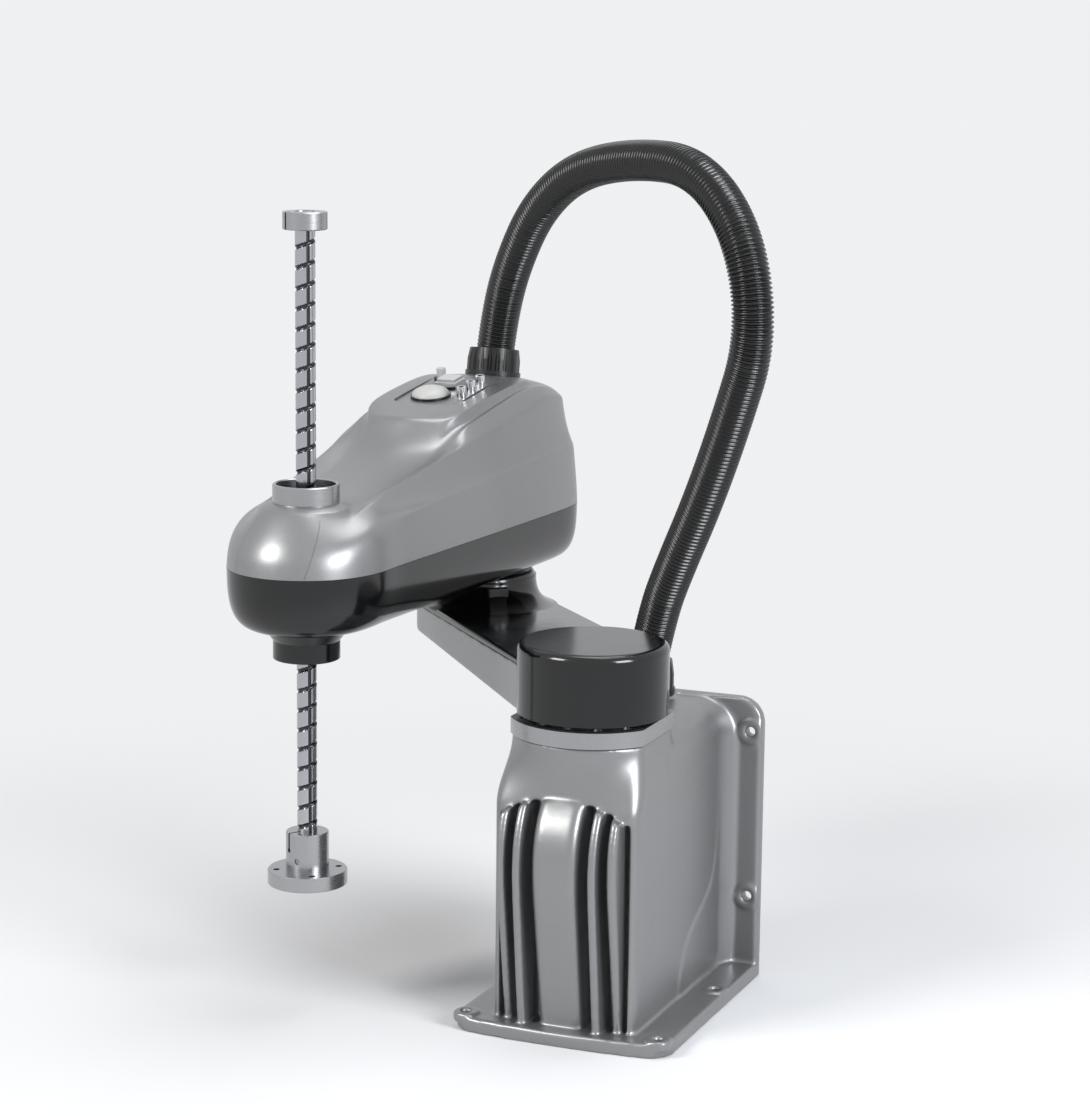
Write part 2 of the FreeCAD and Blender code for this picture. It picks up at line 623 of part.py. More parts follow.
def base_casting():
    plate_front = z.back_face - z.back_thickness
    low = z.foot_thickness / 2
    front_block = prism(
        neck_outline(z.body_half_width, z.body_front, z.body_front * 7, z.body_corner, low),
        Vector(0, 0, z.neck_start - low))
    neck = Part.makeLoft([
        neck_outline(z.body_half_width, z.body_front, z.body_front * 7, z.body_corner, z.neck_start),
        neck_outline(
            z.body_half_width - 0.6, z.body_front - 0.6, z.body_front * 2.6, z.body_corner + 4,
            z.neck_start + (z.neck_top - z.neck_start) * 0.3),
        neck_outline(
            z.neck_half_width + 1.2, z.neck_radius - 3.0, z.neck_radius * 1.2, z.body_corner + 7,
            z.neck_start + (z.neck_top - z.neck_start) * 0.7),
        neck_outline(z.neck_half_width, z.neck_radius, z.neck_radius, z.body_corner, z.neck_top)], True)
    shell = prism(
        round_topped(z.body_half_width, body_top, z.body_round, low, 20),
        Vector(0, plate_front - 20, 0))
    flare_start = plate_front - z.body_flare * 2.2
    flare = Part.makeLoft([
        round_topped(
            z.body_half_width + z.body_flare * share ** 2, body_top,
            z.body_round + z.body_flare * share ** 2 / 2, low,
            flare_start + (plate_front - flare_start) * share)
        for share in (0.0, 0.35, 0.7, 1.0)], True)
    boss_foot = body_top - z.casting_wall
    gland_boss = Part.makeCylinder(
        z.gland_flange_radius, z.back_height - boss_foot, Vector(z.base_gland_x, z.base_gland_y, boss_foot))
    pads = []
    for side in (-1, 1):
        for reach in (-z.foot_bolt_front, z.foot_bolt_rear):
            pads.append(Part.makeCylinder(
                z.pad_radius, z.pad_height + low, Vector(side * z.bolt_half_span, reach, low)))
        for height in (z.back_bolt_low, back_bolt_high):
            pads.append(Part.makeCylinder(
                z.pad_radius, z.pad_height + low,
                Vector(side * z.bolt_half_span, plate_front + low, height), Vector(0, -1, 0)))
    pads = [pad.common(Part.makeBox(
        2 * z.foot_half_width, 2 * z.back_face, z.back_height,
        Vector(-z.foot_half_width, -z.foot_front, 0))) for pad in pads]
    body = front_block.fuse([neck, shell, flare, foot_flange(), back_plate(), gland_boss] + pads)
    body = body.fuse(mirrored_pair(side_relief()))
    body = body.cut(arch_recess(0))
    blades = [rib(0, z.column_half_width, z.body_front, z.column_front, z.column_round)]
    blades += mirrored_pair(rib(z.rib_inner, z.rib_half_width, z.body_front + 7, z.rib_front, z.rib_round))
    blades += mirrored_pair(rib(
        z.rib_outer, z.rib_half_width, z.body_front - 4, z.rib_front - 4, z.rib_round))
    body = body.fuse(blades)
    wall = z.casting_wall
    cavity = prism(
        round_topped(
            z.body_half_width - wall, body_top - wall * 1.6, z.body_round - wall, z.foot_thickness,
            wall - z.recess_floor),
        Vector(0, plate_front - 2 * wall + z.recess_floor, 0))
    bore = Part.makeCylinder(
        z.reducer_radius + 2, z.neck_top, Vector(0, 0, z.neck_top - z.reducer_height - 2))
    seat = z.back_face - z.panel_depth
    window = Part.makeBox(
        2 * z.panel_half_width + 2 * z.gap, z.panel_depth, z.panel_high - z.panel_low + 2 * z.gap,
        Vector(-z.panel_half_width - z.gap, seat, z.panel_low - z.gap))
    ledge = z.panel_ledge
    passage = Part.makeBox(
        2 * (z.panel_half_width - ledge), z.panel_depth + wall * 2, z.panel_high - z.panel_low - 2 * ledge,
        Vector(ledge - z.panel_half_width, seat - wall * 2, z.panel_low + ledge))
    holes = []
    for side in (-1, 1):
        for reach in (-z.foot_bolt_front, z.foot_bolt_rear):
            holes.append(Part.makeCylinder(
                z.bolt_radius, 4 * z.foot_thickness,
                Vector(side * z.bolt_half_span, reach, -z.foot_thickness)))
        for height in (z.back_bolt_low, back_bolt_high):
            holes.append(Part.makeCylinder(
                z.bolt_radius, 4 * z.back_thickness,
                Vector(side * z.bolt_half_span, z.back_face + z.back_thickness, height), Vector(0, -1, 0)))
    hose_way = Part.makeCylinder(
        z.hose_radius - 4, 4 * wall, Vector(z.base_gland_x, z.base_gland_y, body_top - 3 * wall))
    screw_wells = [
        Part.makeCylinder(z.ring_screw_head / 2 + z.gap, 2 * wall, point - Vector(0, 0, 2 * wall))
        for point in ring_screws()]
    return body.cut([cavity, bore, window, passage, hose_way] + holes + screw_wells).removeSplitter()


def ring_screws():
    """Centres of the ring's screws on its lower face: a full circle without those at the flats."""
    points = []
    for i in range(int(z.ring_screw_count)):
        turn = math.radians(360 / z.ring_screw_count * (i + 0.5))
        point = Vector(z.ring_screw_circle * math.cos(turn), z.ring_screw_circle * math.sin(turn), z.neck_top)
        if abs(point.x) < z.ring_half_width - z.ring_screw_head:
            points.append(point)
    return points


keep("base_casting", feature("base_casting_solid", base_casting()))


# Ring plate and its countersunk screws

def ring_plate():
    plate = tube("ring_round", "ring_radius", "ring_bore", "ring_thickness", "neck_top")
    trimmed = doc.addObject("Part::Common", "ring_trimmed")
    trimmed.Base = plate
    trimmed.Tool = box(
        "ring_flats", "- ring_half_width", "- ring_radius * 2", "neck_top",
        "ring_half_width * 2", "ring_radius * 4", "ring_thickness")
    wells = []
    for i, point in enumerate(ring_screws()):
        wells.append(cylinder(
            f"ring_well_{i}", "ring_screw_head + gap", "head_height + ring_screw_sink",
            "neck_top + ring_thickness - head_height - ring_screw_sink", str(point.x), str(point.y)))
        wells.append(cylinder(
            f"ring_hole_{i}", "ring_screw_head / 2 + gap", "ring_thickness", "neck_top",
            str(point.x), str(point.y)))
    return cut("ring_plate_solid", trimmed, *wells)


def screw(name, head_radius, shank_length, head_level, x, y):
    """Socket screw: its head on a thinner shank, with a hexagon socket in its top."""
    head = cylinder(name + "_head", head_radius, "head_height", head_level, x, y)
    shank = cylinder(
        name + "_shank", head_radius + " / 2", shank_length, f"{head_level} - {shank_length}", x, y)
    socket = doc.addObject("Part::Prism", name + "_socket")
    socket.Polygon = 6
    bind(socket, "Circumradius", head_radius + " / 2")
    bind(socket, "Height", "head_height")
    place(socket, x, y, f"{head_level} + head_height / 2")
    return cut(name + "_solid", fuse(name + "_blank", head, shank), socket)


keep("ring_plate", ring_plate())
ring_screw_row = [
    screw(
        f"ring_screw_{i}", "ring_screw_head", "ring_thickness",
        "neck_top + ring_thickness - head_height - ring_screw_sink", str(point.x), str(point.y))
    for i, point in enumerate(ring_screws())]
screws = doc.addObject("Part::Compound", "ring_screw_set")
screws.Links = ring_screw_row
keep("ring_screws", screws)


# Shoulder drive inside the base: reducer under the ring plate and motor under the reducer

keep("shoulder_reducer", turned("shoulder_reducer_body", [
    ("0", "neck_top - reducer_height"),
    ("reducer_radius - casting_wall", "neck_top - reducer_height"),
    ("reducer_radius - casting_wall", "neck_top - reducer_height / 2"),
    ("reducer_radius + casting_wall / 7", "neck_top - reducer_height / 2"),
    ("reducer_radius + casting_wall / 7", "neck_top"),
    ("0", "neck_top")]))
motor_top = "neck_top - reducer_height"
keep("shoulder_motor", fuse(
    "shoulder_motor_solid",
    box(
        "shoulder_motor_flange", "- motor_half_width", "- motor_half_width",
        motor_top + " - foot_thickness", "motor_half_width * 2", "motor_half_width * 2", "foot_thickness"),
    cylinder(
        "shoulder_motor_can", "motor_half_width - gap * 10", "motor_height",
        motor_top + " - motor_height")))


# Connector panel in its stepped window, with the sockets that stand on it

panel_seat = "back_face - panel_depth"
panel_front = "back_face - panel_depth + panel_thickness"
keep("connector_panel", box(
    "panel_sheet", "- panel_half_width", panel_seat, "panel_low",
    "panel_half_width * 2", "panel_thickness", "panel_high - panel_low"))
panel_middle = "panel_low / 2 + panel_high / 2"
def square_socket(label, start, width, height):
    """Rectangular connector shell with a blind well in its outer face."""
    keep(label, cut(
        label + "_solid",
        box(
            label + "_body", start, panel_front, f"{panel_middle} - {height} / 2", width, "plug_reach",
            height),
        box(
            label + "_well", start + " + plug_wall", panel_front + " + plug_reach / 2",
            f"{panel_middle} - {height} / 2 + plug_wall", width + " - plug_wall * 2", "plug_reach",
            height + " - plug_wall * 2")))


square_socket("power_inlet", "inlet_start", "inlet_width", "inlet_height")
for order, offset in enumerate(("signal_first", "signal_first + signal_step"), start=1):
    keep(f"signal_socket_{order}", cut(
        f"signal_socket_solid_{order}",
        cylinder(
            f"signal_shell_{order}", "signal_radius", "plug_reach", panel_middle, offset, panel_front, "y"),
        cylinder(
            f"signal_well_{order}", "signal_radius - plug_wall", "plug_reach", panel_middle, offset,
            panel_front + " + plug_reach / 2", "y")))
square_socket("network_socket", "network_start", "network_width", "network_height")
panel_screw_row = []
for side, sign in enumerate(("-", "+")):
    for rim, edge in enumerate(("panel_low + panel_ledge / 2", "panel_high - panel_ledge / 2")):
        panel_screw_row.append(cylinder(
            f"panel_screw_{side}{rim}", "panel_ledge / 2 - gap * 2", "panel_thickness / 2", edge,
            f"{sign} panel_half_width {'+' if sign == '-' else '-'} panel_ledge / 2", panel_front, "y"))
panel_screws = doc.addObject("Part::Compound", "panel_screw_set")
panel_screws.Links = panel_screw_row
keep("panel_screws", panel_screws)


# Hose gland: a round flange and a nut with upright ribs all round

def gland_nut(height, level, bore):
    """Ribbed nut as one extruded outline, with a groove between each two ribs and a bevelled top."""
    count = int(z.gland_rib_count)
    outer = z.gland_nut_radius
    inner = outer - z.gland_rib_depth
    points = []
    for i in range(count):
        start = 360 / count * i
        for share, radius in ((0.0, inner), (0.18, outer), (0.60, outer), (0.78, inner)):
            turn = math.radians(start + 360 / count * share)
            points.append(Vector(radius * math.cos(turn), radius * math.sin(turn), level))
    body = prism(Part.makePolygon(points + points[:1]), Vector(0, 0, height))
    shape = Part.makeCone(outer + 6, outer - 2, height * 2, Vector(0, 0, level - height))
    body = body.common(shape)
    return body.cut(Part.makeCylinder(bore, height, Vector(0, 0, level)))


def gland(label, nut_height, frame, level):
    keep(label, cut(
        label + "_solid",
        cylinder(label + "_flange", "gland_flange_radius", "gland_flange_height", str(level)),
        cylinder(label + "_bore", "hose_radius - 4", "gland_flange_height", str(level))), frame)
    nut_level = level + z.gland_flange_height
    keep(label + "_nut", feature(
        label + "_nut_solid", gland_nut(nut_height, nut_level, z.hose_radius - 4)), frame)


gland("base_gland", z.base_nut_height, Placement(
    Vector(z.base_gland_x, z.base_gland_y, z.back_height), Rotation()), 0.0)
gland("arm_gland", z.arm_nut_height, GLAND, 0.0)


# Inner arm: a shallow open casting with a hub at each end, its black cover with the elbow neck, and the cap

def slope_block(rise, top):
    """Block above the casting's sloping top edge, lifted by a rise."""
    reach = z.shoulder_link + 2 * z.arm_radius
    start = -2 * z.arm_radius
    fall = z.arm_fall / z.shoulder_link
    corners = [
        Vector(start, -reach, z.arm_edge + rise - fall * start),
        Vector(reach, -reach, z.arm_edge + rise - fall * reach),
        Vector(reach, -reach, top),
        Vector(start, -reach, top)]
    return prism(Part.makePolygon(corners + corners[:1]), Vector(0, 2 * reach, 0))


def link_prism(inset, low, high):
    outline = link_outline(z.shoulder_link, z.arm_radius - inset, z.arm_elbow_radius - inset, low)
    return prism(outline, Vector(0, 0, high - low))


def inner_arm_casting():
    high = z.cap_top + z.arm_radius
    body = link_prism(0, z.arm_low, high).cut(slope_block(0, high))
    low_edges = [e for e in body.Edges if e.BoundBox.ZMax < z.arm_low + 0.01]
    body = body.makeFillet(2.0, low_edges)
    hollow = link_prism(z.arm_wall, z.arm_low + z.arm_floor, high)
    hubs = [
        Part.makeCylinder(z.hub_radius, 2 * z.arm_floor, Vector(0, 0, z.arm_low + z.arm_floor)),
        Part.makeCylinder(
            z.elbow_hub_radius + z.arm_wall, z.arm_floor,
            Vector(z.shoulder_link, 0, z.arm_low + z.arm_floor))]
    webs = [
        Part.makeBox(
            z.shoulder_link, z.arm_wall / 2, z.arm_floor,
            Vector(0, side * z.arm_radius / 3, z.arm_low + z.arm_floor))
        for side in (-1, 1)]
    body = body.cut(hollow).fuse(hubs + webs)
    passage = Part.makeCylinder(z.hub_radius / 3, 6 * z.arm_floor, Vector(0, 0, z.arm_low - 1))
    return body.cut(passage).removeSplitter()


def neck_profile(grow, low):
    """Concave neck of the cover, turned about the elbow axis."""
    top = z.elbow_level + grow
    waist_level = low + (z.elbow_level - low) * 0.62
    curve = Part.BSplineCurve()
    curve.interpolate([
        Vector(z.neck_foot + grow, 0, low),
        Vector(z.neck_waist + (z.neck_foot - z.neck_waist) * 0.35 + grow, 0, low + (waist_level - low) * 0.3),
        Vector(z.neck_waist + 1 + grow, 0, low + (waist_level - low) * 0.7),
        Vector(z.neck_waist + grow, 0, waist_level + (top - waist_level) * 0.3),
        Vector(z.neck_waist - 1 + grow, 0, top - (z.neck_waist - z.neck_lip)),
        Vector(z.neck_lip + grow, 0, top)])
    edge = curve.toShape()
    end = Vector(0, 0, top)
    start = Vector(0, 0, low)
    wire = Part.Wire([
        edge,
        Part.makeLine(edge.lastVertex(True).Point, end),
        Part.makeLine(end, start),
        Part.makeLine(start, edge.firstVertex(True).Point)])
    solid = Part.Face(wire).revolve(Vector(0, 0, 0), Vector(0, 0, 1), 360)
    return solid.translated(Vector(z.shoulder_link, 0, 0))


def elbow_edge(rise):
    """Height of the casting's edge at the elbow, lifted by a rise."""
    return z.arm_edge - z.arm_fall + rise


def arm_cover_block(grow):
    """Solid of the black cover, grown all over by a clearance."""
    high = z.cap_top + z.arm_radius
    lid = link_prism(0.4 - grow, z.arm_low, high).cut(slope_block(z.lid_thickness + grow, high))
    top_face = max(lid.Faces, key=lambda face: face.CenterOfMass.z)
    lid = lid.makeFillet(z.lid_round, top_face.OuterWire.Edges)
    upper = slope_block(0, high)
    return lid.common(upper).fuse(neck_profile(grow, elbow_edge(z.arm_wall / 6)))


def inner_arm_cover():
    block = arm_cover_block(0)
    low = elbow_edge(0) - z.arm_wall
    inside = Part.makeCylinder(
        z.neck_lip - z.arm_wall, z.elbow_level - z.cap_wall - low, Vector(z.shoulder_link, 0, low))
    opening = Part.makeCylinder(z.elbow_bore, z.elbow_level, Vector(z.shoulder_link, 0, low))
    return block.cut([inside, opening]).removeSplitter()


def shoulder_cap():
    body = Part.makeCylinder(z.cap_radius, z.cap_top - z.cap_low, Vector(0, 0, z.cap_low))
    rim = [e for e in body.Edges if e.BoundBox.ZMin > z.cap_top - 0.01]
    body = body.makeFillet(z.cap_round, rim)
    inside = Part.makeCylinder(
        z.cap_radius - z.cap_wall, z.cap_top - z.cap_wall - z.cap_low + 1, Vector(0, 0, z.cap_low - 1))
    rim = [e for e in inside.Edges if e.BoundBox.ZMin > z.cap_top - z.cap_wall - 0.01]
    inside = inside.makeFillet(z.cap_round - z.cap_wall, rim)
    high = z.cap_top + z.arm_radius
    arm = link_prism(-z.gap, z.arm_low - 1, high).cut(slope_block(z.lid_thickness + z.gap, high))
    return body.cut([inside, arm]).removeSplitter()


def stop_block():
    """Block on the neck's waist that faces the shoulder, hollowed to the neck."""
    block = Part.makeBox(
        z.stop_reach / 2, z.stop_width, z.stop_height,
        Vector(z.shoulder_link - z.stop_reach, -z.stop_width / 2, z.stop_low))
    outer_edges = [e for e in block.Edges if e.BoundBox.XMax < z.shoulder_link - z.stop_reach + 0.01]
    block = block.makeFillet(1.5, outer_edges)
    return block.cut(neck_profile(0, elbow_edge(z.arm_wall / 6)))


keep("inner_arm_casting", feature("inner_arm_casting_solid", inner_arm_casting()), SHOULDER)
keep("inner_arm_cover", feature("inner_arm_cover_solid", inner_arm_cover()), SHOULDER)
keep("shoulder_cap", feature("shoulder_cap_solid", shoulder_cap()), SHOULDER)
keep("stop_block", feature("stop_block_solid", stop_block()), SHOULDER)
keep("shoulder_hub", turned("shoulder_hub_body", [
    ("hub_radius / 3", "neck_top + gap"),
    ("hub_radius", "neck_top + gap"),
    ("hub_radius", "arm_low"),
    ("hub_radius / 3", "arm_low")]), SHOULDER)
elbow_hub = turned("elbow_hub_body", [
    ("0", "arm_low + arm_floor * 2"),
    ("elbow_hub_radius", "arm_low + arm_floor * 2"),
    ("elbow_hub_radius", "cover_low - gap * 10"),
    ("0", "cover_low - gap * 10")])
elbow_hub.Placement = Placement(Vector(z.shoulder_link, 0, 0), Rotation())
keep("elbow_hub", elbow_hub, SHOULDER)


# Outer arm covers. Each cross-section of the upper cover is a mirrored curve through a lower ridge, an upper
# ridge and the edge of the deck; the deck is a shallow valley near the quill and rises into the hump.

# Place along the link as a share of it, then across as shares of the half-width and up as shares of the
# hump's height: lower ridge, shoulder, upper ridge, edge of the deck, middle
STATIONS = [
    (-0.275, (0.97, 0.42), (0.93, 0.68), (0.85, 0.85), (0.62, 0.96), 1.00),
    (-0.10, (0.97, 0.42), (0.93, 0.68), (0.85, 0.85), (0.62, 0.96), 1.00),
    (0.10, (0.97, 0.41), (0.93, 0.67), (0.85, 0.85), (0.62, 0.97), 1.00),
    (0.30, (0.97, 0.39), (0.93, 0.61), (0.86, 0.78), (0.68, 0.91), 0.95),
    (0.40, (0.97, 0.37), (0.93, 0.56), (0.86, 0.73), (0.68, 0.86), 0.90),
    (0.475, (0.97, 0.36), (0.92, 0.53), (0.85, 0.68), (0.66, 0.76), 0.76),
    (0.535, (0.97, 0.35), (0.90, 0.49), (0.78, 0.62), (0.58, 0.61), 0.55),
    (0.60, (0.97, 0.34), (0.87, 0.47), (0.72, 0.56), (0.50, 0.49), 0.43),
    (0.75, (0.97, 0.32), (0.82, 0.42), (0.62, 0.48), (0.40, 0.42), 0.385),
    (0.88, (0.96, 0.26), (0.82, 0.35), (0.61, 0.42), (0.38, 0.40), 0.385),
    (1.00, (0.95, 0.19), (0.84, 0.28), (0.60, 0.37), (0.36, 0.39), 0.39),
]


# Number of even steps along the arm, and how far along half a cross-section each of its points lies
SECTION_COUNT = 25
HALF_SHARES = (0.0, 0.27, 0.45, 0.59, 0.73, 1.0)


def eased(places, values, place):
    """Smooth value between those of a table, without overshoot."""
    steps = [(b - a) / (d - c) for a, b, c, d in zip(values, values[1:], places, places[1:])]
    slopes = [steps[0]]
    for before, after in zip(steps, steps[1:]):
        slopes.append(0.0 if before * after <= 0 else 2 * before * after / (before + after))
    slopes.append(steps[-1])
    i = max(n for n in range(len(steps)) if places[n] <= place + 1e-9)
    span = places[i + 1] - places[i]
    share = (place - places[i]) / span
    return (
        values[i] * (1 + 2 * share) * (1 - share) ** 2
        + slopes[i] * span * share * (1 - share) ** 2
        + values[i + 1] * share ** 2 * (3 - 2 * share)
        + slopes[i + 1] * span * share ** 2 * (share - 1))


def station_at(place):
    """Cross-section's shares at any place along the link, in the form of a row of the table."""
    places = [station[0] for station in STATIONS]
    pairs = []
    for column in range(1, 5):
        across = eased(places, [station[column][0] for station in STATIONS], place)
        up = eased(places, [station[column][1] for station in STATIONS], place)
        pairs.append((across, up))
    return (place, *pairs, eased(places, [station[5] for station in STATIONS], place))


def seam_half_width(reach):
    """Half-width of the arm at the seam, on the straight side between tail and nose."""
    corner_x = z.tail_corner - z.tail_reach
    share = (reach - corner_x) / (z.elbow_link - corner_x)
    return z.tail_half_width + (z.nose_radius - z.tail_half_width) * share


def station_points(station, inset):
    """Half of one cross-section from the seam to the middle line."""
    reach = station[0] * z.elbow_link
    half = seam_half_width(reach)
    deck = z.nose_height / z.hump_height / 0.39
    points = [Vector(reach, half - inset, z.seam_level)]
    for across, up in station[1:5]:
        points.append(Vector(
            reach, across * (half - inset), z.seam_level + up * z.hump_height * deck - inset))
    points.append(Vector(reach, 0, z.seam_level + station[5] * z.hump_height * deck - inset))
    return points


def station_wire(station, inset):
    half = station_points(station, inset)
    across = half + [Vector(p.x, -p.y, p.z) for p in reversed(half[:-1])]
    shares = [share / 2 for share in HALF_SHARES] + [1 - share / 2 for share in reversed(HALF_SHARES[:-1])]
    curve = Part.BSplineCurve()
    curve.interpolate(Points=across, Parameters=shares)
    return Part.Wire([curve.toShape(), Part.makeLine(across[-1], across[0])])


def nose_dome(inset):
    """Half-round nose turned about the quill axis from the last cross-section."""
    half = [Vector(p.y, 0, p.z) for p in station_points(STATIONS[-1], inset)]
    curve = Part.BSplineCurve()
    curve.interpolate(half)
    edge = curve.toShape()
    low = Vector(0, 0, z.seam_level)
    wire = Part.Wire([edge, Part.makeLine(half[-1], low), Part.makeLine(low, half[0])])
    dome = Part.Face(wire).revolve(Vector(0, 0, 0), Vector(0, 0, 1), 360)
    return dome.translated(Vector(z.elbow_link, 0, 0))


def tail_profile(inset):
    """Side view of the hump: upright tail, rounded rear edge, crown and the sloping top panel."""
    reach = z.tail_reach - inset
    crown = z.crown_level - inset
    seam = z.seam_level
    rise = crown - seam
    curve = Part.BSplineCurve()
    curve.interpolate([
        Vector(-reach, 0, seam),
        Vector(-reach * 0.90, 0, seam + rise * 0.44),
        Vector(-reach * 0.80, 0, seam + rise * 0.80),
        Vector(-reach * 0.60, 0, seam + rise * 0.915),
        Vector(-reach * 0.26, 0, seam + rise * 0.97),
        Vector(reach * 0.08, 0, seam + rise * 1.0),
        Vector(z.crown_reach, 0, crown)])
    edge = curve.toShape()
    front = z.elbow_link + 2 * z.nose_radius
    far = Vector(front, 0, crown - z.crown_fall * (front - z.crown_reach))
    low = Vector(front, 0, seam)
    wire = Part.Wire([
        edge,
        Part.makeLine(Vector(z.crown_reach, 0, crown), far),
        Part.makeLine(far, low),
        Part.makeLine(low, Vector(-reach, 0, seam))])
    return prism(wire, Vector(0, 2 * z.tail_half_width, 0)).translated(Vector(0, -z.tail_half_width, 0))


def cover_hull(inset):
    """Long part of the upper cover's form, drawn in all over by an inset."""
    first, last = STATIONS[0][0], STATIONS[-1][0]
    places = [first + (last - first) * i / SECTION_COUNT for i in range(SECTION_COUNT + 1)]
    return Part.makeLoft([station_wire(station_at(place), inset) for place in places], True)


def trimmed_tail(body, inset):
    plan = prism(arm_outline(inset, z.seam_level), Vector(0, 0, 2 * z.hump_height))
    return body.common(tail_profile(max(inset, 0))).common(plan)


def top_cover():
    body = trimmed_tail(cover_hull(0).fuse(nose_dome(0)), -0.01)
    deck = z.seam_level + z.nose_height
    boss = Part.makeCylinder(
        z.boss_radius, z.boss_height + 2 * z.cover_wall, Vector(z.elbow_link, 0, deck - 2 * z.cover_wall))
    body = body.fuse(boss)
    body = body.cut(trimmed_tail(cover_hull(z.cover_wall), z.cover_wall - z.gap * 2))
    body = body.cut(nose_dome(z.cover_wall + z.gap))
    opening = Part.makeCylinder(z.ring_inner, z.nose_height * 2, Vector(z.elbow_link, 0, z.seam_level))
    return body.cut(opening)


keep("top_cover", feature("top_cover_solid", top_cover()), ELBOW)


def lower_loft(inset):
    """Belly of the outer arm: the seam outline drawn in towards a flat underside."""
    depth = z.seam_level - z.cover_low
    steps = ((0.0, 0.6), (0.46, 1.5), (0.70, 6.0), (0.87, 16.0), (1.0, 34.0))
    low = depth - inset
    return Part.makeLoft([
        arm_outline(draw + inset, z.seam_level - low * share) for share, draw in steps], True)


def bottom_cover():
    body = lower_loft(0).cut(lower_loft(z.cover_wall))
    elbow_hole = Part.makeCylinder(z.elbow_opening, z.cover_low, Vector(0, 0, z.cover_low - z.cover_wall))
    quill_hole = Part.makeCylinder(
        z.boot_collar - z.boot_wall, z.cover_low, Vector(z.elbow_link, 0, z.cover_low - z.cover_wall))
    return body.cut([elbow_hole, quill_hole])


keep("bottom_cover", feature("bottom_cover_solid", bottom_cover()), ELBOW)


# Inside the outer arm: its frame with the bearing bridge, the elbow drive and the two quill drives

bridge_top = "bridge_level + bridge_thickness"


def arm_frame():
    """Frame plate with the bridge over the nut pulleys and a raised plate for the two quill motors."""
    top = z.frame_low + z.frame_thickness
    plate = prism(arm_outline(z.frame_inset, z.frame_low), Vector(0, 0, z.frame_thickness))
    post_height = z.bridge_level - top
    quill = z.elbow_link
    disc = Part.makeCylinder(
        z.pillar_offset + z.casting_wall, z.bridge_thickness, Vector(quill, 0, z.bridge_level))
    pillars = [
        Part.makeBox(
            4 * z.casting_wall, z.casting_wall, post_height,
            Vector(quill - 2 * z.casting_wall, side * z.pillar_offset - z.casting_wall / 2, top))
        for side in (-1, 1)]
    reach = z.quill_motor_reach
    shelf = Part.makeBox(
        3 * z.quill_motor_radius, 2 * (z.quill_motor_offset + z.quill_motor_radius), z.bridge_thickness,
        Vector(
            reach - 1.5 * z.quill_motor_radius, -z.quill_motor_offset - z.quill_motor_radius, z.bridge_level))
    legs = [
        Part.makeBox(
            z.casting_wall, 2 * (z.quill_motor_offset + z.quill_motor_radius), post_height,
            Vector(
                reach - 1.5 * z.quill_motor_radius, -z.quill_motor_offset - z.quill_motor_radius, top))]
    body = plate.fuse([disc, shelf] + pillars + legs)
    lower_seat = z.nut_radius + z.gap + z.bearing_wall
    upper_seat = z.ball_nut_radius + z.gap + z.bearing_wall
    holes = [
        Part.makeCylinder(lower_seat, z.frame_thickness, Vector(quill, 0, z.frame_low)),
        Part.makeCylinder(upper_seat, z.bridge_thickness, Vector(quill, 0, z.bridge_level))]
    for side in (-1, 1):
        holes.append(Part.makeCylinder(
            z.motor_pulley_radius - z.belt_inset * 2, z.bridge_thickness,
            Vector(reach, side * z.quill_motor_offset, z.bridge_level)))
    return body.cut(holes)


keep("arm_frame", feature("arm_frame_solid", arm_frame()), ELBOW)
keep("elbow_reducer", turned("elbow_reducer_body", [
    ("0", "cover_low - gap * 9"),
    ("elbow_reducer_radius - belt_inset", "cover_low - gap * 9"),
    ("elbow_reducer_radius - belt_inset", "cover_low + cover_wall * 3"),
    ("elbow_reducer_radius", "cover_low + cover_wall * 3"),
    ("elbow_reducer_radius", "frame_low"),
    ("0", "frame_low")]), ELBOW)
keep("elbow_motor", fuse(
    "elbow_motor_solid",
    cylinder("elbow_motor_can", "elbow_motor_radius", "elbow_motor_height", "frame_low + frame_thickness"),
    cylinder(
        "elbow_brake", "elbow_motor_radius * 0.8", "bridge_thickness",
        "frame_low + frame_thickness + elbow_motor_height")), ELBOW)
for label, sign in (("turn_motor", "-"), ("lift_motor", "+")):
    offset = f"{sign} quill_motor_offset"
    keep(label, fuse(
        label + "_solid",
        box(
            label + "_front", "quill_motor_reach - quill_motor_radius", offset + " - quill_motor_radius",
            bridge_top, "quill_motor_radius * 2", "quill_motor_radius * 2", "bridge_thickness"),
        cylinder(
            label + "_can", "quill_motor_radius - gap * 5", "quill_motor_height", bridge_top,
            "quill_motor_reach", offset)), ELBOW)
quill_x = "elbow_link"
keep("spline_bearing", tube(
    "spline_bearing_solid", "nut_radius + gap + bearing_wall", "nut_radius + gap", "frame_thickness",
    "frame_low", quill_x), ELBOW)
keep("ball_nut_bearing", tube(
    "ball_nut_bearing_solid", "ball_nut_radius + gap + bearing_wall", "ball_nut_radius + gap",
    "bridge_thickness", "bridge_level", quill_x), ELBOW)


# Nuts round the quill with their pulleys, the motor pulleys and the belts

keep("spline_nut", tube(
    "spline_nut_solid", "nut_radius", "quill_radius + running_fit", "nut_top - nut_low", "nut_low"), QUILL)


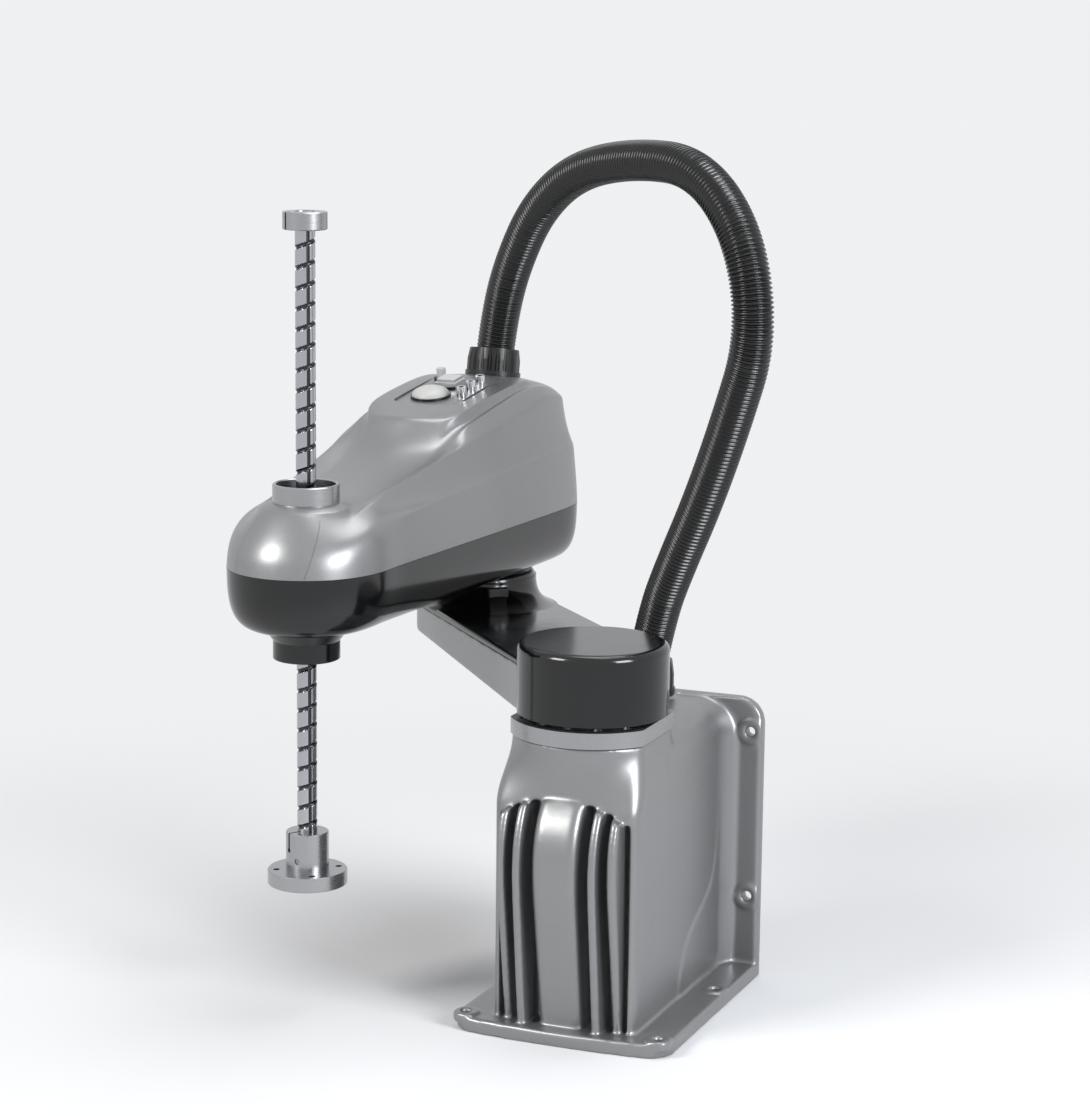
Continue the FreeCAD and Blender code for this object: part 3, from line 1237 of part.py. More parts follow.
def toothed(radius, height, level, bore):
    """Toothed pulley between two flanges."""
    count = int(radius * 2)
    tip = radius - z.belt_inset
    root = tip - z.belt_inset / 2
    points = []
    for i in range(count):
        for share, reach in ((0.0, root), (0.15, tip), (0.55, tip), (0.7, root)):
            turn = 2 * math.pi * (i + share) / count
            points.append(Vector(reach * math.cos(turn), reach * math.sin(turn), level))
    flange = z.belt_inset / 2
    body = prism(Part.makePolygon(points + points[:1]), Vector(0, 0, height))
    rims = [
        Part.makeCylinder(radius, flange, Vector(0, 0, level)),
        Part.makeCylinder(radius, flange, Vector(0, 0, level + height - flange))]
    body = body.fuse(rims)
    if bore > 0:
        body = body.cut(Part.makeCylinder(bore, height, Vector(0, 0, level)))
    return body


keep("turn_pulley", feature("turn_pulley_solid", toothed(
    z.turn_pulley_radius, z.turn_pulley_height, z.nut_top,
    z.quill_radius + z.nut_play)), QUILL)
keep("ball_nut", tube(
    "ball_nut_solid", "ball_nut_radius", "quill_radius + nut_play", "ball_nut_height", "ball_nut_low"), QUILL)
keep("lift_pulley", feature("lift_pulley_solid", toothed(
    z.lift_pulley_radius, z.lift_pulley_height, z.ball_nut_low + z.belt_inset,
    z.ball_nut_radius)), QUILL)
for label, side, level, height in (
        ("turn_motor_pulley", -1, z.nut_top, z.turn_pulley_height),
        ("lift_motor_pulley", 1, z.ball_nut_low + z.belt_inset, z.lift_pulley_height)):
    shaft_top = z.bridge_level + z.bridge_thickness - z.gap
    wheel = toothed(z.motor_pulley_radius, height, level, 0)
    shaft = Part.makeCylinder(z.motor_pulley_radius / 2 - 1, shaft_top - level, Vector(0, 0, level))
    keep(label, feature(label + "_solid", wheel.fuse(shaft)), ELBOW * Placement(
        Vector(z.quill_motor_reach, side * z.quill_motor_offset, 0), Rotation()))


def belt(side, wheel_radius, level, height):
    """Belt as the band round its two pulleys, clear of their teeth."""
    near = Vector(z.quill_motor_reach, side * z.quill_motor_offset, level)
    far = Vector(z.elbow_link, 0, level)
    span = far - near
    direction = math.degrees(math.atan2(span.y, span.x))

    def loop(grow):
        small = z.motor_pulley_radius - z.belt_inset + z.gap + grow
        large = wheel_radius - z.belt_inset + z.gap + grow
        outline = link_outline(span.Length, small, large, 0)
        return outline.rotated(Vector(0, 0, 0), Vector(0, 0, 1), direction).translated(near)
    flange = z.belt_inset / 2 + z.gap
    band = prism(loop(z.belt_thickness), Vector(0, 0, height - 2 * flange))
    band = band.cut(prism(loop(0), Vector(0, 0, height - 2 * flange)))
    return band.translated(Vector(0, 0, flange))


keep("turn_belt", feature("turn_belt_solid", belt(
    -1, z.turn_pulley_radius, z.nut_top, z.turn_pulley_height)), ELBOW)
keep("lift_belt", feature("lift_belt_solid", belt(
    1, z.lift_pulley_radius, z.ball_nut_low + z.belt_inset, z.lift_pulley_height)), ELBOW)


# Quill: hollow shaft with ball grooves, clamp collar on top and tool flange below

def quill_shaft():
    length = z.quill_top - z.quill_low
    base = Vector(0, 0, z.quill_low)
    body = Part.makeCylinder(z.quill_radius, length, base)
    chamfered = [e for e in body.Edges if e.Closed]
    body = body.makeChamfer(z.gap * 3, chamfered)
    body = body.cut(Part.makeCylinder(z.quill_bore, length, base))
    groove_low = z.quill_low + z.flange_hub_height + z.flange_thickness + z.casting_wall
    groove_length = z.quill_top - z.collar_height - z.casting_wall - groove_low
    grooves = []
    for i in range(int(z.groove_count)):
        turn = 2 * math.pi * i / z.groove_count
        reach = z.quill_radius + z.groove_radius * 0.45
        grooves.append(Part.makeCylinder(
            z.groove_radius, groove_length,
            Vector(reach * math.cos(turn), reach * math.sin(turn), groove_low)))
    return body.cut(grooves)


keep("quill_shaft", feature("quill_shaft_solid", quill_shaft()), QUILL)


def clamp_slit(name, radius, height, level):
    """Cutter for the slit on one side of a clamped hub."""
    slit = box(name, "0", "- collar_slit / 2", level, radius + " * 2", "collar_slit", height)
    slit.Placement = Placement(Vector(0, 0, 0), Rotation(Vector(0, 0, 1), z.slit_turn)) * slit.Placement
    return slit


collar_low = "quill_top - collar_height + gap * 2"
collar = turned("top_collar_body", [
    ("quill_radius", collar_low),
    ("collar_radius - gap * 3", collar_low),
    ("collar_radius", collar_low + " + gap * 3"),
    ("collar_radius", collar_low + " + collar_height - gap * 3"),
    ("collar_radius - gap * 3", collar_low + " + collar_height"),
    ("quill_radius", collar_low + " + collar_height")])
keep("top_collar", cut("top_collar_solid", collar, clamp_slit(
    "top_collar_slit", "collar_radius", "collar_height * 2", collar_low + " - collar_height / 2")), QUILL)

hub_base = "flange_low + flange_thickness"
flange_body = turned("tool_flange_body", [
    ("quill_radius", "flange_low"),
    ("flange_radius - gap * 3", "flange_low"),
    ("flange_radius", "flange_low + gap * 3"),
    ("flange_radius", hub_base + " - gap * 3"),
    ("flange_radius - gap * 3", hub_base),
    ("flange_hub_radius", hub_base),
    ("flange_hub_radius", hub_base + " + flange_hub_height - gap * 3"),
    ("flange_hub_radius - gap * 3", hub_base + " + flange_hub_height"),
    ("quill_radius", hub_base + " + flange_hub_height")])
drilled(
    flange_body, "flange_bolt_radius", "flange_bolt_circle", "flange_bolt_count", "flange_bolt_turn",
    "flange_low + flange_thickness * 2")
relief = cylinder(
    "tool_flange_relief", "collar_slit", "flange_hub_radius * 2", hub_base + " + flange_hub_height * 0.55",
    "0", "0", "x")
relief.Placement = Placement(Vector(0, 0, 0), Rotation(Vector(0, 0, 1), z.slit_turn)) * relief.Placement
set_holes = [
    cylinder(
        f"set_screw_hole_{along}", "set_screw_radius", "flange_hub_radius * 2",
        hub_base + " + flange_hub_height * 0.3", "0", start, along)
    for along, start in (("x", "0"), ("y", "- flange_hub_radius * 2"))]
keep("tool_flange", cut(
    "tool_flange_solid", flange_body,
    clamp_slit("tool_flange_slit", "flange_hub_radius", "flange_hub_height * 0.45",
               hub_base + " + flange_hub_height * 0.55"),
    relief, *set_holes), QUILL)
set_screw_pair = doc.addObject("Part::Compound", "set_screw_pair")
set_screw_pair.Links = [
    cylinder(
        "set_screw_x", "set_screw_radius - gap", "flange_hub_radius - quill_radius - gap * 5",
        hub_base + " + flange_hub_height * 0.3", "quill_radius + gap", "0", "x"),
    cylinder(
        "set_screw_y", "set_screw_radius - gap", "flange_hub_radius - quill_radius - gap * 5",
        hub_base + " + flange_hub_height * 0.3", "0", "- flange_hub_radius + gap * 4", "y")]
keep("set_screws", set_screw_pair, QUILL)

deck_level = "seam_level + nose_height + boss_height"
quill_ring = turned("quill_ring_body", [
    ("ring_inner", deck_level),
    ("ring_outer", deck_level),
    ("ring_outer", deck_level + " + ring_height - gap * 4"),
    ("ring_outer - gap * 4", deck_level + " + ring_height"),
    ("ring_inner + gap * 3", deck_level + " + ring_height"),
    ("ring_inner", deck_level + " + ring_height - gap * 3")])
keep("quill_ring", quill_ring, QUILL)
boot_low = "cover_low - boot_flare - boot_collar_height"
keep("quill_boot", turned("quill_boot_body", [
    ("quill_radius + nut_play * 4", boot_low),
    ("boot_collar - gap * 3", boot_low),
    ("boot_collar", boot_low + " + gap * 3"),
    ("boot_collar", "cover_low - boot_flare"),
    ("boot_radius", "cover_low"),
    ("boot_collar - boot_wall", "cover_low"),
    ("boot_collar - boot_wall", boot_low + " + boot_wall"),
    ("quill_radius + nut_play * 4", boot_low + " + boot_wall")]), QUILL)


# What stands on the sloping top panel: x along the panel, z out of it

def tray_block(inset, low, height):
    slope = math.sqrt(1 + z.crown_fall ** 2)
    start, end = z.tray_rear * slope + inset, z.tray_front * slope - inset
    block = Part.makeBox(
        end - start, 2 * (z.tray_half_width - inset), height, Vector(start, inset - z.tray_half_width, low))
    uprights = [e for e in block.Edges if e.BoundBox.ZLength > height * 0.9]
    return block.makeFillet(z.tray_corner - inset, uprights)


tray_floor = -z.tray_depth
tray_plate = 1.2
cover = parts["top_cover"]
local_panel = ELBOW.inverse() * PANEL
recess = tray_block(0, tray_floor, z.tray_depth + 4)
recess.Placement = local_panel * recess.Placement
gland_well = Part.makeCylinder(z.hose_radius - 4, 6 * z.cover_wall, Vector(0, 0, -4 * z.cover_wall))
gland_seat = Part.makeCylinder(z.gland_flange_radius + z.gap, 6 * z.cover_wall)
for shape in (gland_well, gland_seat):
    shape.Placement = ELBOW.inverse() * GLAND * shape.Placement
cover_shape = cover.Shape.copy()
cover_shape.Placement = Placement()
cover.Shape = cover_shape.cut([recess, gland_well, gland_seat])
cover.Placement = ELBOW
keep("panel_tray", feature("panel_tray_solid", tray_block(z.gap, tray_floor, tray_plate)), PANEL)
item_level = str(tray_floor + tray_plate)
keep("lamp_base", cylinder(
    "lamp_base_solid", "lamp_radius + gap * 5", "tray_depth", item_level, "lamp_reach", "lamp_offset"), PANEL)


def lamp_dome():
    """Shallow cap of a sphere on a short upright rim."""
    rim = z.lamp_height / 3
    low = tray_floor + tray_plate + z.tray_depth
    rise = z.lamp_height - rim
    ball_radius = (z.lamp_radius ** 2 + rise ** 2) / (2 * rise)
    ball = Part.makeSphere(ball_radius, Vector(0, 0, low + z.lamp_height - ball_radius))
    rim_block = Part.makeCylinder(z.lamp_radius, z.lamp_height * 2, Vector(0, 0, low))
    return ball.common(rim_block).translated(Vector(z.lamp_reach, z.lamp_offset, 0))


keep("status_lamp", feature("status_lamp_solid", lamp_dome()), PANEL)
keep("coupler_base", box(
    "coupler_base_solid", "coupler_first - coupler_margin", "coupler_offset - coupler_radius * 1.3",
    item_level, "coupler_step * 2 + coupler_margin * 2", "coupler_radius * 2.4", "tray_depth"), PANEL)
couplers = doc.addObject("Part::Compound", "coupler_set")
coupler_items = []
for i in range(3):
    coupler_items.append(tube(
        f"coupler_{i}", "coupler_radius", "coupler_radius * 0.55", "coupler_height",
        item_level + " + tray_depth", f"coupler_first + coupler_step * {i}", "coupler_offset"))
couplers.Links = coupler_items
keep("couplers", couplers, PANEL)
keep("multipin_socket", fuse(
    "multipin_solid",
    box(
        "multipin_body", "multipin_reach", "multipin_offset", item_level, "multipin_side", "multipin_side",
        "coupler_height * 0.7"),
    box(
        "multipin_plug", "multipin_reach + coupler_lip", "multipin_offset + coupler_lip", item_level,
        "multipin_side - coupler_lip * 2", "multipin_side - coupler_lip * 2", "coupler_height")), PANEL)
keep("button_base", tube(
    "button_base_solid", "button_radius + cover_wall", "button_radius + gap", "tray_depth", item_level,
    "button_reach", "button_offset"), PANEL)
keep("brake_button", cylinder(
    "brake_button_solid", "button_radius", "button_height", item_level + " + button_travel + gap",
    "button_reach", "button_offset"), PANEL)


# Hose: corrugated conduit from the gland on the base over the shoulder to the gland on the outer arm. Its
# route is a list of points in the upright plane through both glands, as distance from the arm's gland
# towards the base's, and height.

hose_start = GLAND.multVec(Vector(0, 0, z.gland_flange_height + z.arm_nut_height))
hose_end = Vector(z.base_gland_x, z.base_gland_y, z.back_height + z.gland_flange_height + z.base_nut_height)
HOSE_ROUTE = [
    (10, 668), (36, 727), (84, 790), (158, 834), (262, 852), (372, 850), (449, 788), (473, 690), (432, 597),
    (390, 515), (344, 440), (316, 388)]


def hose():
    """Round conduit along straight runs joined by tangent arcs as large as their runs allow."""
    plane = Vector(hose_end.x - hose_start.x, hose_end.y - hose_start.y, 0)
    plane.normalize()
    into_nut = z.base_nut_height / 3
    route = [hose_start - Vector(0, 0, into_nut)] + [
        Vector(hose_start.x, hose_start.y, 0) + plane * along + Vector(0, 0, height)
        for along, height in HOSE_ROUTE] + [hose_end - Vector(0, 0, into_nut)]
    edges = []
    here = route[0]
    for before, corner, after in zip(route, route[1:], route[2:]):
        inward = corner - before
        outward = after - corner
        turn = inward.getAngle(outward)
        reach = 0.45 * min(inward.Length, outward.Length)
        radius = reach / math.tan(turn / 2)
        inward.normalize()
        outward.normalize()
        start = corner - inward * reach
        end = corner + outward * reach
        middle = corner + (outward - inward).normalize() * (radius / math.cos(turn / 2) - radius)
        if start.distanceToPoint(here) > 1e-6:
            edges.append(Part.makeLine(here, start))
        edges.append(arc_through(start, middle, end))
        here = end
    edges.append(Part.makeLine(here, route[-1]))
    spine = Part.Wire(edges)
    first = (route[1] - route[0]).normalize()
    ring = Part.Wire([Part.makeCircle(z.hose_radius, route[0], first)])
    solid = spine.makePipeShell([ring], True, False)
    expected = math.pi * z.hose_radius ** 2 * spine.Length
    print("hose length", round(spine.Length), "volume share", round(solid.Volume / expected, 4))
    below = z.base_nut_height + z.gland_flange_height
    arm_cutter = Part.makeCylinder(
        2 * z.hose_radius, below, Vector(0, 0, z.gland_flange_height + z.arm_nut_height - below))
    arm_cutter.Placement = GLAND * arm_cutter.Placement
    base_cutter = Part.makeCylinder(2 * z.hose_radius, below, hose_end - Vector(0, 0, below))
    return solid.cut([arm_cutter, base_cutter])


keep("hose", feature("hose_solid", hose()))


# Every object is sound before anything is written

def check():
    doc.recompute()
    for obj in doc.Objects:
        if "Invalid" in obj.State or "Error" in obj.State:
            raise RuntimeError(f"{obj.Name} did not compute: {obj.State}")
    for label, obj in parts.items():
        if obj.Shape.isNull() or not obj.Shape.isValid() or not obj.Shape.Solids:
            raise RuntimeError(f"{label} has no sound shape")


check()
os.makedirs("parts", exist_ok=True)
for label, obj in parts.items():
    obj.Shape.exportStep(f"parts/{label}.step")
    print(label, round(obj.Shape.Volume / 1000, 1), len(obj.Shape.Faces))
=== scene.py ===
import json
import math

import bpy
from mathutils import Matrix, Vector

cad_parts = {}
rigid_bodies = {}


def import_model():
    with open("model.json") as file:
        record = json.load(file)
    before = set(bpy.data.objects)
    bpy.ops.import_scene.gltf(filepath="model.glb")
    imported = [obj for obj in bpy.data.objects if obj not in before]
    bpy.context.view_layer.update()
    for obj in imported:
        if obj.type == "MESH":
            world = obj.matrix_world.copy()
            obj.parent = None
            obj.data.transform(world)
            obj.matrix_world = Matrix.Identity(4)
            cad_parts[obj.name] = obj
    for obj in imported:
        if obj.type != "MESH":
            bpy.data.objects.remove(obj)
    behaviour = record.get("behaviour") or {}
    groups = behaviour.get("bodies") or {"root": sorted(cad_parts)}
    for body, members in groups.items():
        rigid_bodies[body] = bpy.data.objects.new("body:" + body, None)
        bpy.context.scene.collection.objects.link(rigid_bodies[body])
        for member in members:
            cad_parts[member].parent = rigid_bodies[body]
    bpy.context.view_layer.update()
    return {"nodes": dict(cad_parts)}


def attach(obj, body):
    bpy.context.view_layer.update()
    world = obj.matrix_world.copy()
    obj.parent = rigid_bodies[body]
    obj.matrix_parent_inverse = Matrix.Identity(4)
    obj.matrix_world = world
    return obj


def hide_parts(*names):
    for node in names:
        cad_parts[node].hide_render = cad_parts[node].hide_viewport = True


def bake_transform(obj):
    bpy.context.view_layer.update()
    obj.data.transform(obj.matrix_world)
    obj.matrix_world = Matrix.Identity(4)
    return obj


for leftover in list(bpy.data.objects):
    bpy.data.objects.remove(leftover)

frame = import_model()
nodes = frame["nodes"]
bpy.ops.object.select_all(action="DESELECT")
studio = bpy.context.scene.collection.objects


# Helpers for shader nodes, meshes and modifiers.
MERGE_DISTANCE = 0.00001


def linear(code):
    """Red, green, blue and alpha of an sRGB hex colour, in linear light."""
    parts = [int(code[place:place + 2], 16) / 255.0 for place in (1, 3, 5)]
    return [((part + 0.055) / 1.055) ** 2.4 if part > 0.04 else part / 12.92 for part in parts] + [1.0]


def add_node(tree, kind, inputs, **settings):
    """Adds one node, with its settings, and with a value or a link on each named input."""
    node = tree.nodes.new(kind)
    for name, value in settings.items():
        setattr(node, name, value)
    for socket, value in inputs.items():
        if isinstance(value, bpy.types.NodeSocket):
            tree.links.new(value, node.inputs[socket])
        else:
            node.inputs[socket].default_value = value
    return node


def shape_by(piece, kind, **settings):
    """Adds a modifier to a piece, with its settings, and applies it at once."""
    modifier = piece.modifiers.new(kind.lower(), kind)
    for name, value in settings.items():
        setattr(modifier, name, value)
    bpy.context.view_layer.objects.active = piece
    bpy.ops.object.modifier_apply(modifier=modifier.name)


def clean_mesh(merge=True, cap=False):
    """Merges the active piece's touching points, caps its open ends, and turns its faces outward."""
    bpy.ops.object.mode_set(mode="EDIT")
    bpy.ops.mesh.select_all(action="SELECT")
    if merge:
        bpy.ops.mesh.remove_doubles(threshold=MERGE_DISTANCE)
    if cap:
        bpy.ops.mesh.fill_holes(sides=0)
    bpy.ops.mesh.normals_make_consistent(inside=False)
    bpy.ops.object.mode_set(mode="OBJECT")


def shade_by_angle(piece, degrees):
    """Shades a piece smooth, apart from edges that turn by more than an angle."""
    piece.select_set(True)
    bpy.context.view_layer.objects.active = piece
    bpy.ops.object.shade_smooth_by_angle(angle=math.radians(degrees))
    piece.select_set(False)


# The camera. A long lens stands 2.9 m in front of the robot, to the right
# of its middle and a little above the arm, and looks down by 11 degrees.
CAMERA_PLACE = (1.07147, -2.73690, 1.03155)
CAMERA_RIGHT = (0.92419, 0.38179, 0.01061)
CAMERA_UP = (-0.08099, 0.16875, 0.98233)
CAMERA_BACK = (0.37325, -0.90871, 0.18688)
camera = bpy.data.objects.new("camera", bpy.data.cameras.new("camera"))
camera_turn = Matrix((CAMERA_RIGHT, CAMERA_UP, CAMERA_BACK)).transposed().to_4x4()
camera.matrix_world = Matrix.Translation(CAMERA_PLACE) @ camera_turn
camera.data.sensor_width = 36.0
camera.data.lens = 98.41
camera.data.clip_end = 60.0
studio.link(camera)
bpy.context.scene.camera = camera
bpy.context.scene.view_settings.view_transform = "Standard"


# The studio. A pale seamless floor runs into a pale surround, and three large
# soft lamps stand round the robot. The surround is white in pictures and
# reflections, and gives a plain low light of its own.
WHITE = "#F7F8FA"
WHITE_AS_SEEN = 0.93
WHITE_AS_LIGHT = 0.27
FLOOR_SIZE = 24.0
FLOOR_FORWARD = 4.0
FADE_STARTS = 0.35
FADE_ENDS = 1.5


def seeing_rays(tree):
    """Gives 1 to the rays by which a thing is seen, and 0 to those that carry its light elsewhere."""
    rays = add_node(tree, "ShaderNodeLightPath", {})
    straight = add_node(tree, "ShaderNodeMath", {
        0: rays.outputs["Is Camera Ray"], 1: rays.outputs["Is Transmission Ray"]}, operation="MAXIMUM")
    return add_node(tree, "ShaderNodeMath", {
        0: straight.outputs[0], 1: rays.outputs["Is Glossy Ray"]}, operation="MAXIMUM").outputs[0]


surround = bpy.data.worlds.new("pale_surround")
surround.use_nodes = True
surround.node_tree.nodes.clear()
strength = add_node(surround.node_tree, "ShaderNodeMapRange", {
    "Value": seeing_rays(surround.node_tree), "To Min": WHITE_AS_LIGHT, "To Max": WHITE_AS_SEEN})
light = add_node(surround.node_tree, "ShaderNodeBackground", {
    "Color": linear(WHITE), "Strength": strength.outputs["Result"]})
add_node(surround.node_tree, "ShaderNodeOutputWorld", {"Surface": light.outputs[0]})
bpy.context.scene.world = surround

bpy.ops.mesh.primitive_plane_add(size=FLOOR_SIZE, location=(0.0, FLOOR_FORWARD, 0.0))
floor = bpy.context.object
floor.name = "floor"
paper = bpy.data.materials.new("matt_paper_sweep")
paper.use_nodes = True
tree = paper.node_tree
paper_surface = tree.nodes["Principled BSDF"]
paper_surface.inputs["Base Color"].default_value = linear("#F1F2F4")
paper_surface.inputs["Roughness"].default_value = 0.9
# Away from the robot the paper turns as white as the surround, as a sweep does.
where = add_node(tree, "ShaderNodeTexCoord", {}).outputs["Object"]
from_robot = add_node(tree, "ShaderNodeVectorMath", {
    0: where, 1: (0.0, -FLOOR_FORWARD, 0.0)}, operation="DISTANCE")
fade = add_node(tree, "ShaderNodeMapRange", {
    "Value": from_robot.outputs["Value"], "From Min": FADE_STARTS, "From Max": FADE_ENDS,
}, interpolation_type="SMOOTHSTEP")
share = add_node(tree, "ShaderNodeMath", {
    0: fade.outputs["Result"], 1: seeing_rays(tree)}, operation="MULTIPLY")
white_paper = add_node(tree, "ShaderNodeEmission", {"Color": linear(WHITE), "Strength": WHITE_AS_SEEN})
sweep = add_node(tree, "ShaderNodeMixShader", {
    0: share.outputs[0], 1: paper_surface.outputs[0], 2: white_paper.outputs[0]})
tree.links.new(sweep.outputs[0], tree.nodes["Material Output"].inputs["Surface"])
floor.data.materials.append(paper)


def soft_lamp(name, place, target, size, watts, colour):
    """A square soft lamp that faces its target."""
    lamp = bpy.data.lights.new(name, "AREA")
    lamp.size = size
    lamp.energy = watts
    lamp.color = linear(colour)[:3]
    stand = bpy.data.objects.new(name, lamp)
    aim = (Vector(target) - Vector(place)).to_track_quat("-Z", "Y")
    stand.matrix_world = Matrix.Translation(place) @ aim.to_matrix().to_4x4()
    studio.link(stand)


soft_lamp("key_lamp", (-1.9, -2.4, 2.3), (-0.1, 0.0, 0.4), 1.2, 74.0, "#FFFDFA")
soft_lamp("side_lamp", (2.6, -1.0, 1.5), (0.0, 0.1, 0.35), 1.2, 72.0, "#F8FBFF")
soft_lamp("top_lamp", (0.1, 0.6, 2.9), (-0.1, 0.1, 0.4), 1.6, 28.0, "#FFFFFF")


# How a finish is made. Its plain values go on the shader, and textures in the
# piece's own coordinates then vary the gloss, the shade or the surface a little.
def new_finish(name, colour, rough, metallic=0.0):
    """A material with its plain values on the shader."""
    finish = bpy.data.materials.new(name)
    finish.use_nodes = True
    surface = shader_of(finish)
    surface.inputs["Base Color"].default_value = linear(colour)
    surface.inputs["Roughness"].default_value = rough
    surface.inputs["Metallic"].default_value = metallic
    return finish


def shader_of(finish):
    """The shader node of a finish."""
    return finish.node_tree.nodes["Principled BSDF"]


def object_place(finish):
    """The piece's own coordinates, for a texture."""
    return add_node(finish.node_tree, "ShaderNodeTexCoord", {}).outputs["Object"]


def noise_on(finish, scale, detail, stretch=None):
    """A noise texture, stretched where that is asked. Gives its output."""
    place = object_place(finish)
    if stretch:
        place = add_node(finish.node_tree, "ShaderNodeMapping", {
            "Vector": place, "Scale": stretch}).outputs[0]
    return add_node(finish.node_tree, "ShaderNodeTexNoise", {
        "Vector": place, "Scale": scale, "Detail": detail}).outputs["Fac"]


def uneven_gloss(finish, texture, low, high):
    """Lets a texture move the roughness between two values."""
    span = add_node(finish.node_tree, "ShaderNodeMapRange", {
        "Value": texture, "To Min": low, "To Max": high})
    finish.node_tree.links.new(span.outputs["Result"], shader_of(finish).inputs["Roughness"])


def two_shades(finish, texture, first, second):
    """Lets a texture mix the colour from two near shades."""
    shade = add_node(finish.node_tree, "ShaderNodeMix", {
        "Factor": texture, "A": linear(first), "B": linear(second)}, data_type="RGBA")
    finish.node_tree.links.new(shade.outputs["Result"], shader_of(finish).inputs["Base Color"])


def fine_relief(finish, texture, strength, height):
    """Lets a texture raise the surface: the strength is the share of the height that shows."""
    bump = add_node(finish.node_tree, "ShaderNodeBump", {
        "Strength": strength, "Distance": height, "Height": texture})
    finish.node_tree.links.new(bump.outputs["Normal"], shader_of(finish).inputs["Normal"])


def cover_in(finish, *names):
    """Gives a finish to CAD nodes, on every material slot they have."""
    for name in names:
        node = nodes[name]
        node.data.materials.clear()
        node.data.materials.append(finish)


# The paint on the castings and the arm's upper cover. It is a satin silver-grey
# two-layer paint, sprayed over a sanded surface. The eye gets a soft metallic
# sheen, the faint waviness of the spray, and fine grain from the flakes.
silver_paint = new_finish("satin_silver_paint", "#8D8E8F", 0.36, 0.72)
# Metal flakes about 0.25 mm across are drawn 0.8 mm across, so that they show.
two_shades(silver_paint, noise_on(silver_paint, 1250.0, 1.0), "#868788", "#949596")
# The spray leaves waves some 6 mm long and about a hundredth of a millimetre high.
wave = noise_on(silver_paint, 160.0, 2.0)
uneven_gloss(silver_paint, wave, 0.31, 0.4)
fine_relief(silver_paint, wave, 0.12, 0.00012)


# The base casting. It is one aluminium sand casting, fettled and painted, with
# a foot flange, a back plate and five upright forms in its arched front. Sand
# casting and paint leave every edge and inner corner round by two or three
# millimetres.
CAST_GRAIN = 0.0019
CAST_FETTLING = 10
CAST_TRIANGLES = 190000


def cast_copy(name):
    """A merged copy of a CAD node, whose edges are rounded as a casting's are."""
    piece = bpy.data.objects.new(name + "_cast", nodes[name].data.copy())
    studio.link(piece)
    piece.select_set(True)
    bpy.context.view_layer.objects.active = piece
    bpy.ops.object.mode_set(mode="EDIT")
    bpy.ops.mesh.select_all(action="SELECT")
    bpy.ops.mesh.customdata_custom_splitnormals_clear()
    bpy.ops.mesh.remove_doubles(threshold=MERGE_DISTANCE)
    bpy.ops.object.mode_set(mode="OBJECT")
    shape_by(piece, "REMESH", mode="VOXEL", voxel_size=CAST_GRAIN)
    shape_by(piece, "SMOOTH", factor=0.6, iterations=CAST_FETTLING)
    shape_by(piece, "DECIMATE", ratio=min(1.0, CAST_TRIANGLES / (2.0 * len(piece.data.polygons))))
    piece.data.materials.clear()
    piece.data.materials.append(silver_paint)
    piece.data.shade_smooth()
    piece.select_set(False)
    return piece


base_cast = cast_copy("base_casting")
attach(base_cast, "base")
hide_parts("base_casting")


# The machined pieces: the ring plate on the base, the ring round the quill, the
# tool flange, the clamp collar and the shoulder's hub. They are turned and milled
# aluminium, clear anodised, and fine tool marks draw the light into soft bands.
turned_metal = new_finish("turned_clear_anodised_aluminium", "#A3A4A6", 0.28, 1.0)
tool_marks = noise_on(turned_metal, 1.0, 2.0, (12.0, 12.0, 2500.0))
uneven_gloss(turned_metal, tool_marks, 0.2, 0.36)
fine_relief(turned_metal, tool_marks, 0.08, 0.00003)
cover_in(turned_metal, "ring_plate", "quill_ring", "tool_flange", "top_collar", "shoulder_hub")


# The screws: socket heads in the ring plate, the panel's small screws and the
# set screws of the tool flange. They are zinc-plated steel, greyer than the
# plate, with a slightly cloudy surface.
plated_steel = new_finish("zinc_plated_steel", "#8F9193", 0.34, 1.0)
uneven_gloss(plated_steel, noise_on(plated_steel, 420.0, 3.0), 0.26, 0.46)
cover_in(plated_steel, "ring_screws", "panel_screws", "set_screws")


# The drives inside: reducers, nuts, motors, pulleys, bearings and the frame that
# carries them. They are ground steel, black enamel, bare aluminium and rubber.
# The stop block under the elbow has the motors' enamel.
ground_steel = new_finish("ground_steel", "#7C7E82", 0.3, 1.0)
uneven_gloss(ground_steel, noise_on(ground_steel, 600.0, 2.0), 0.22, 0.4)
cover_in(ground_steel, "shoulder_reducer", "elbow_reducer", "elbow_hub", "spline_bearing",
         "ball_nut_bearing", "spline_nut", "ball_nut")

motor_enamel = new_finish("black_motor_enamel", "#1B1C1E", 0.5)
fine_relief(motor_enamel, noise_on(motor_enamel, 700.0, 2.0), 0.25, 0.0002)
cover_in(motor_enamel, "shoulder_motor", "elbow_motor", "turn_motor", "lift_motor", "stop_block")

milled_aluminium = new_finish("milled_bare_aluminium", "#A9ABAD", 0.4, 1.0)
uneven_gloss(milled_aluminium, noise_on(milled_aluminium, 500.0, 2.0), 0.32, 0.48)
cover_in(milled_aluminium, "arm_frame", "turn_pulley", "lift_pulley", "turn_motor_pulley",
         "lift_motor_pulley", "coupler_base")

belt_rubber = new_finish("neoprene_belt", "#17171A", 0.75)
fine_relief(belt_rubber, noise_on(belt_rubber, 900.0, 2.0), 0.3, 0.0002)
cover_in(belt_rubber, "turn_belt", "lift_belt")


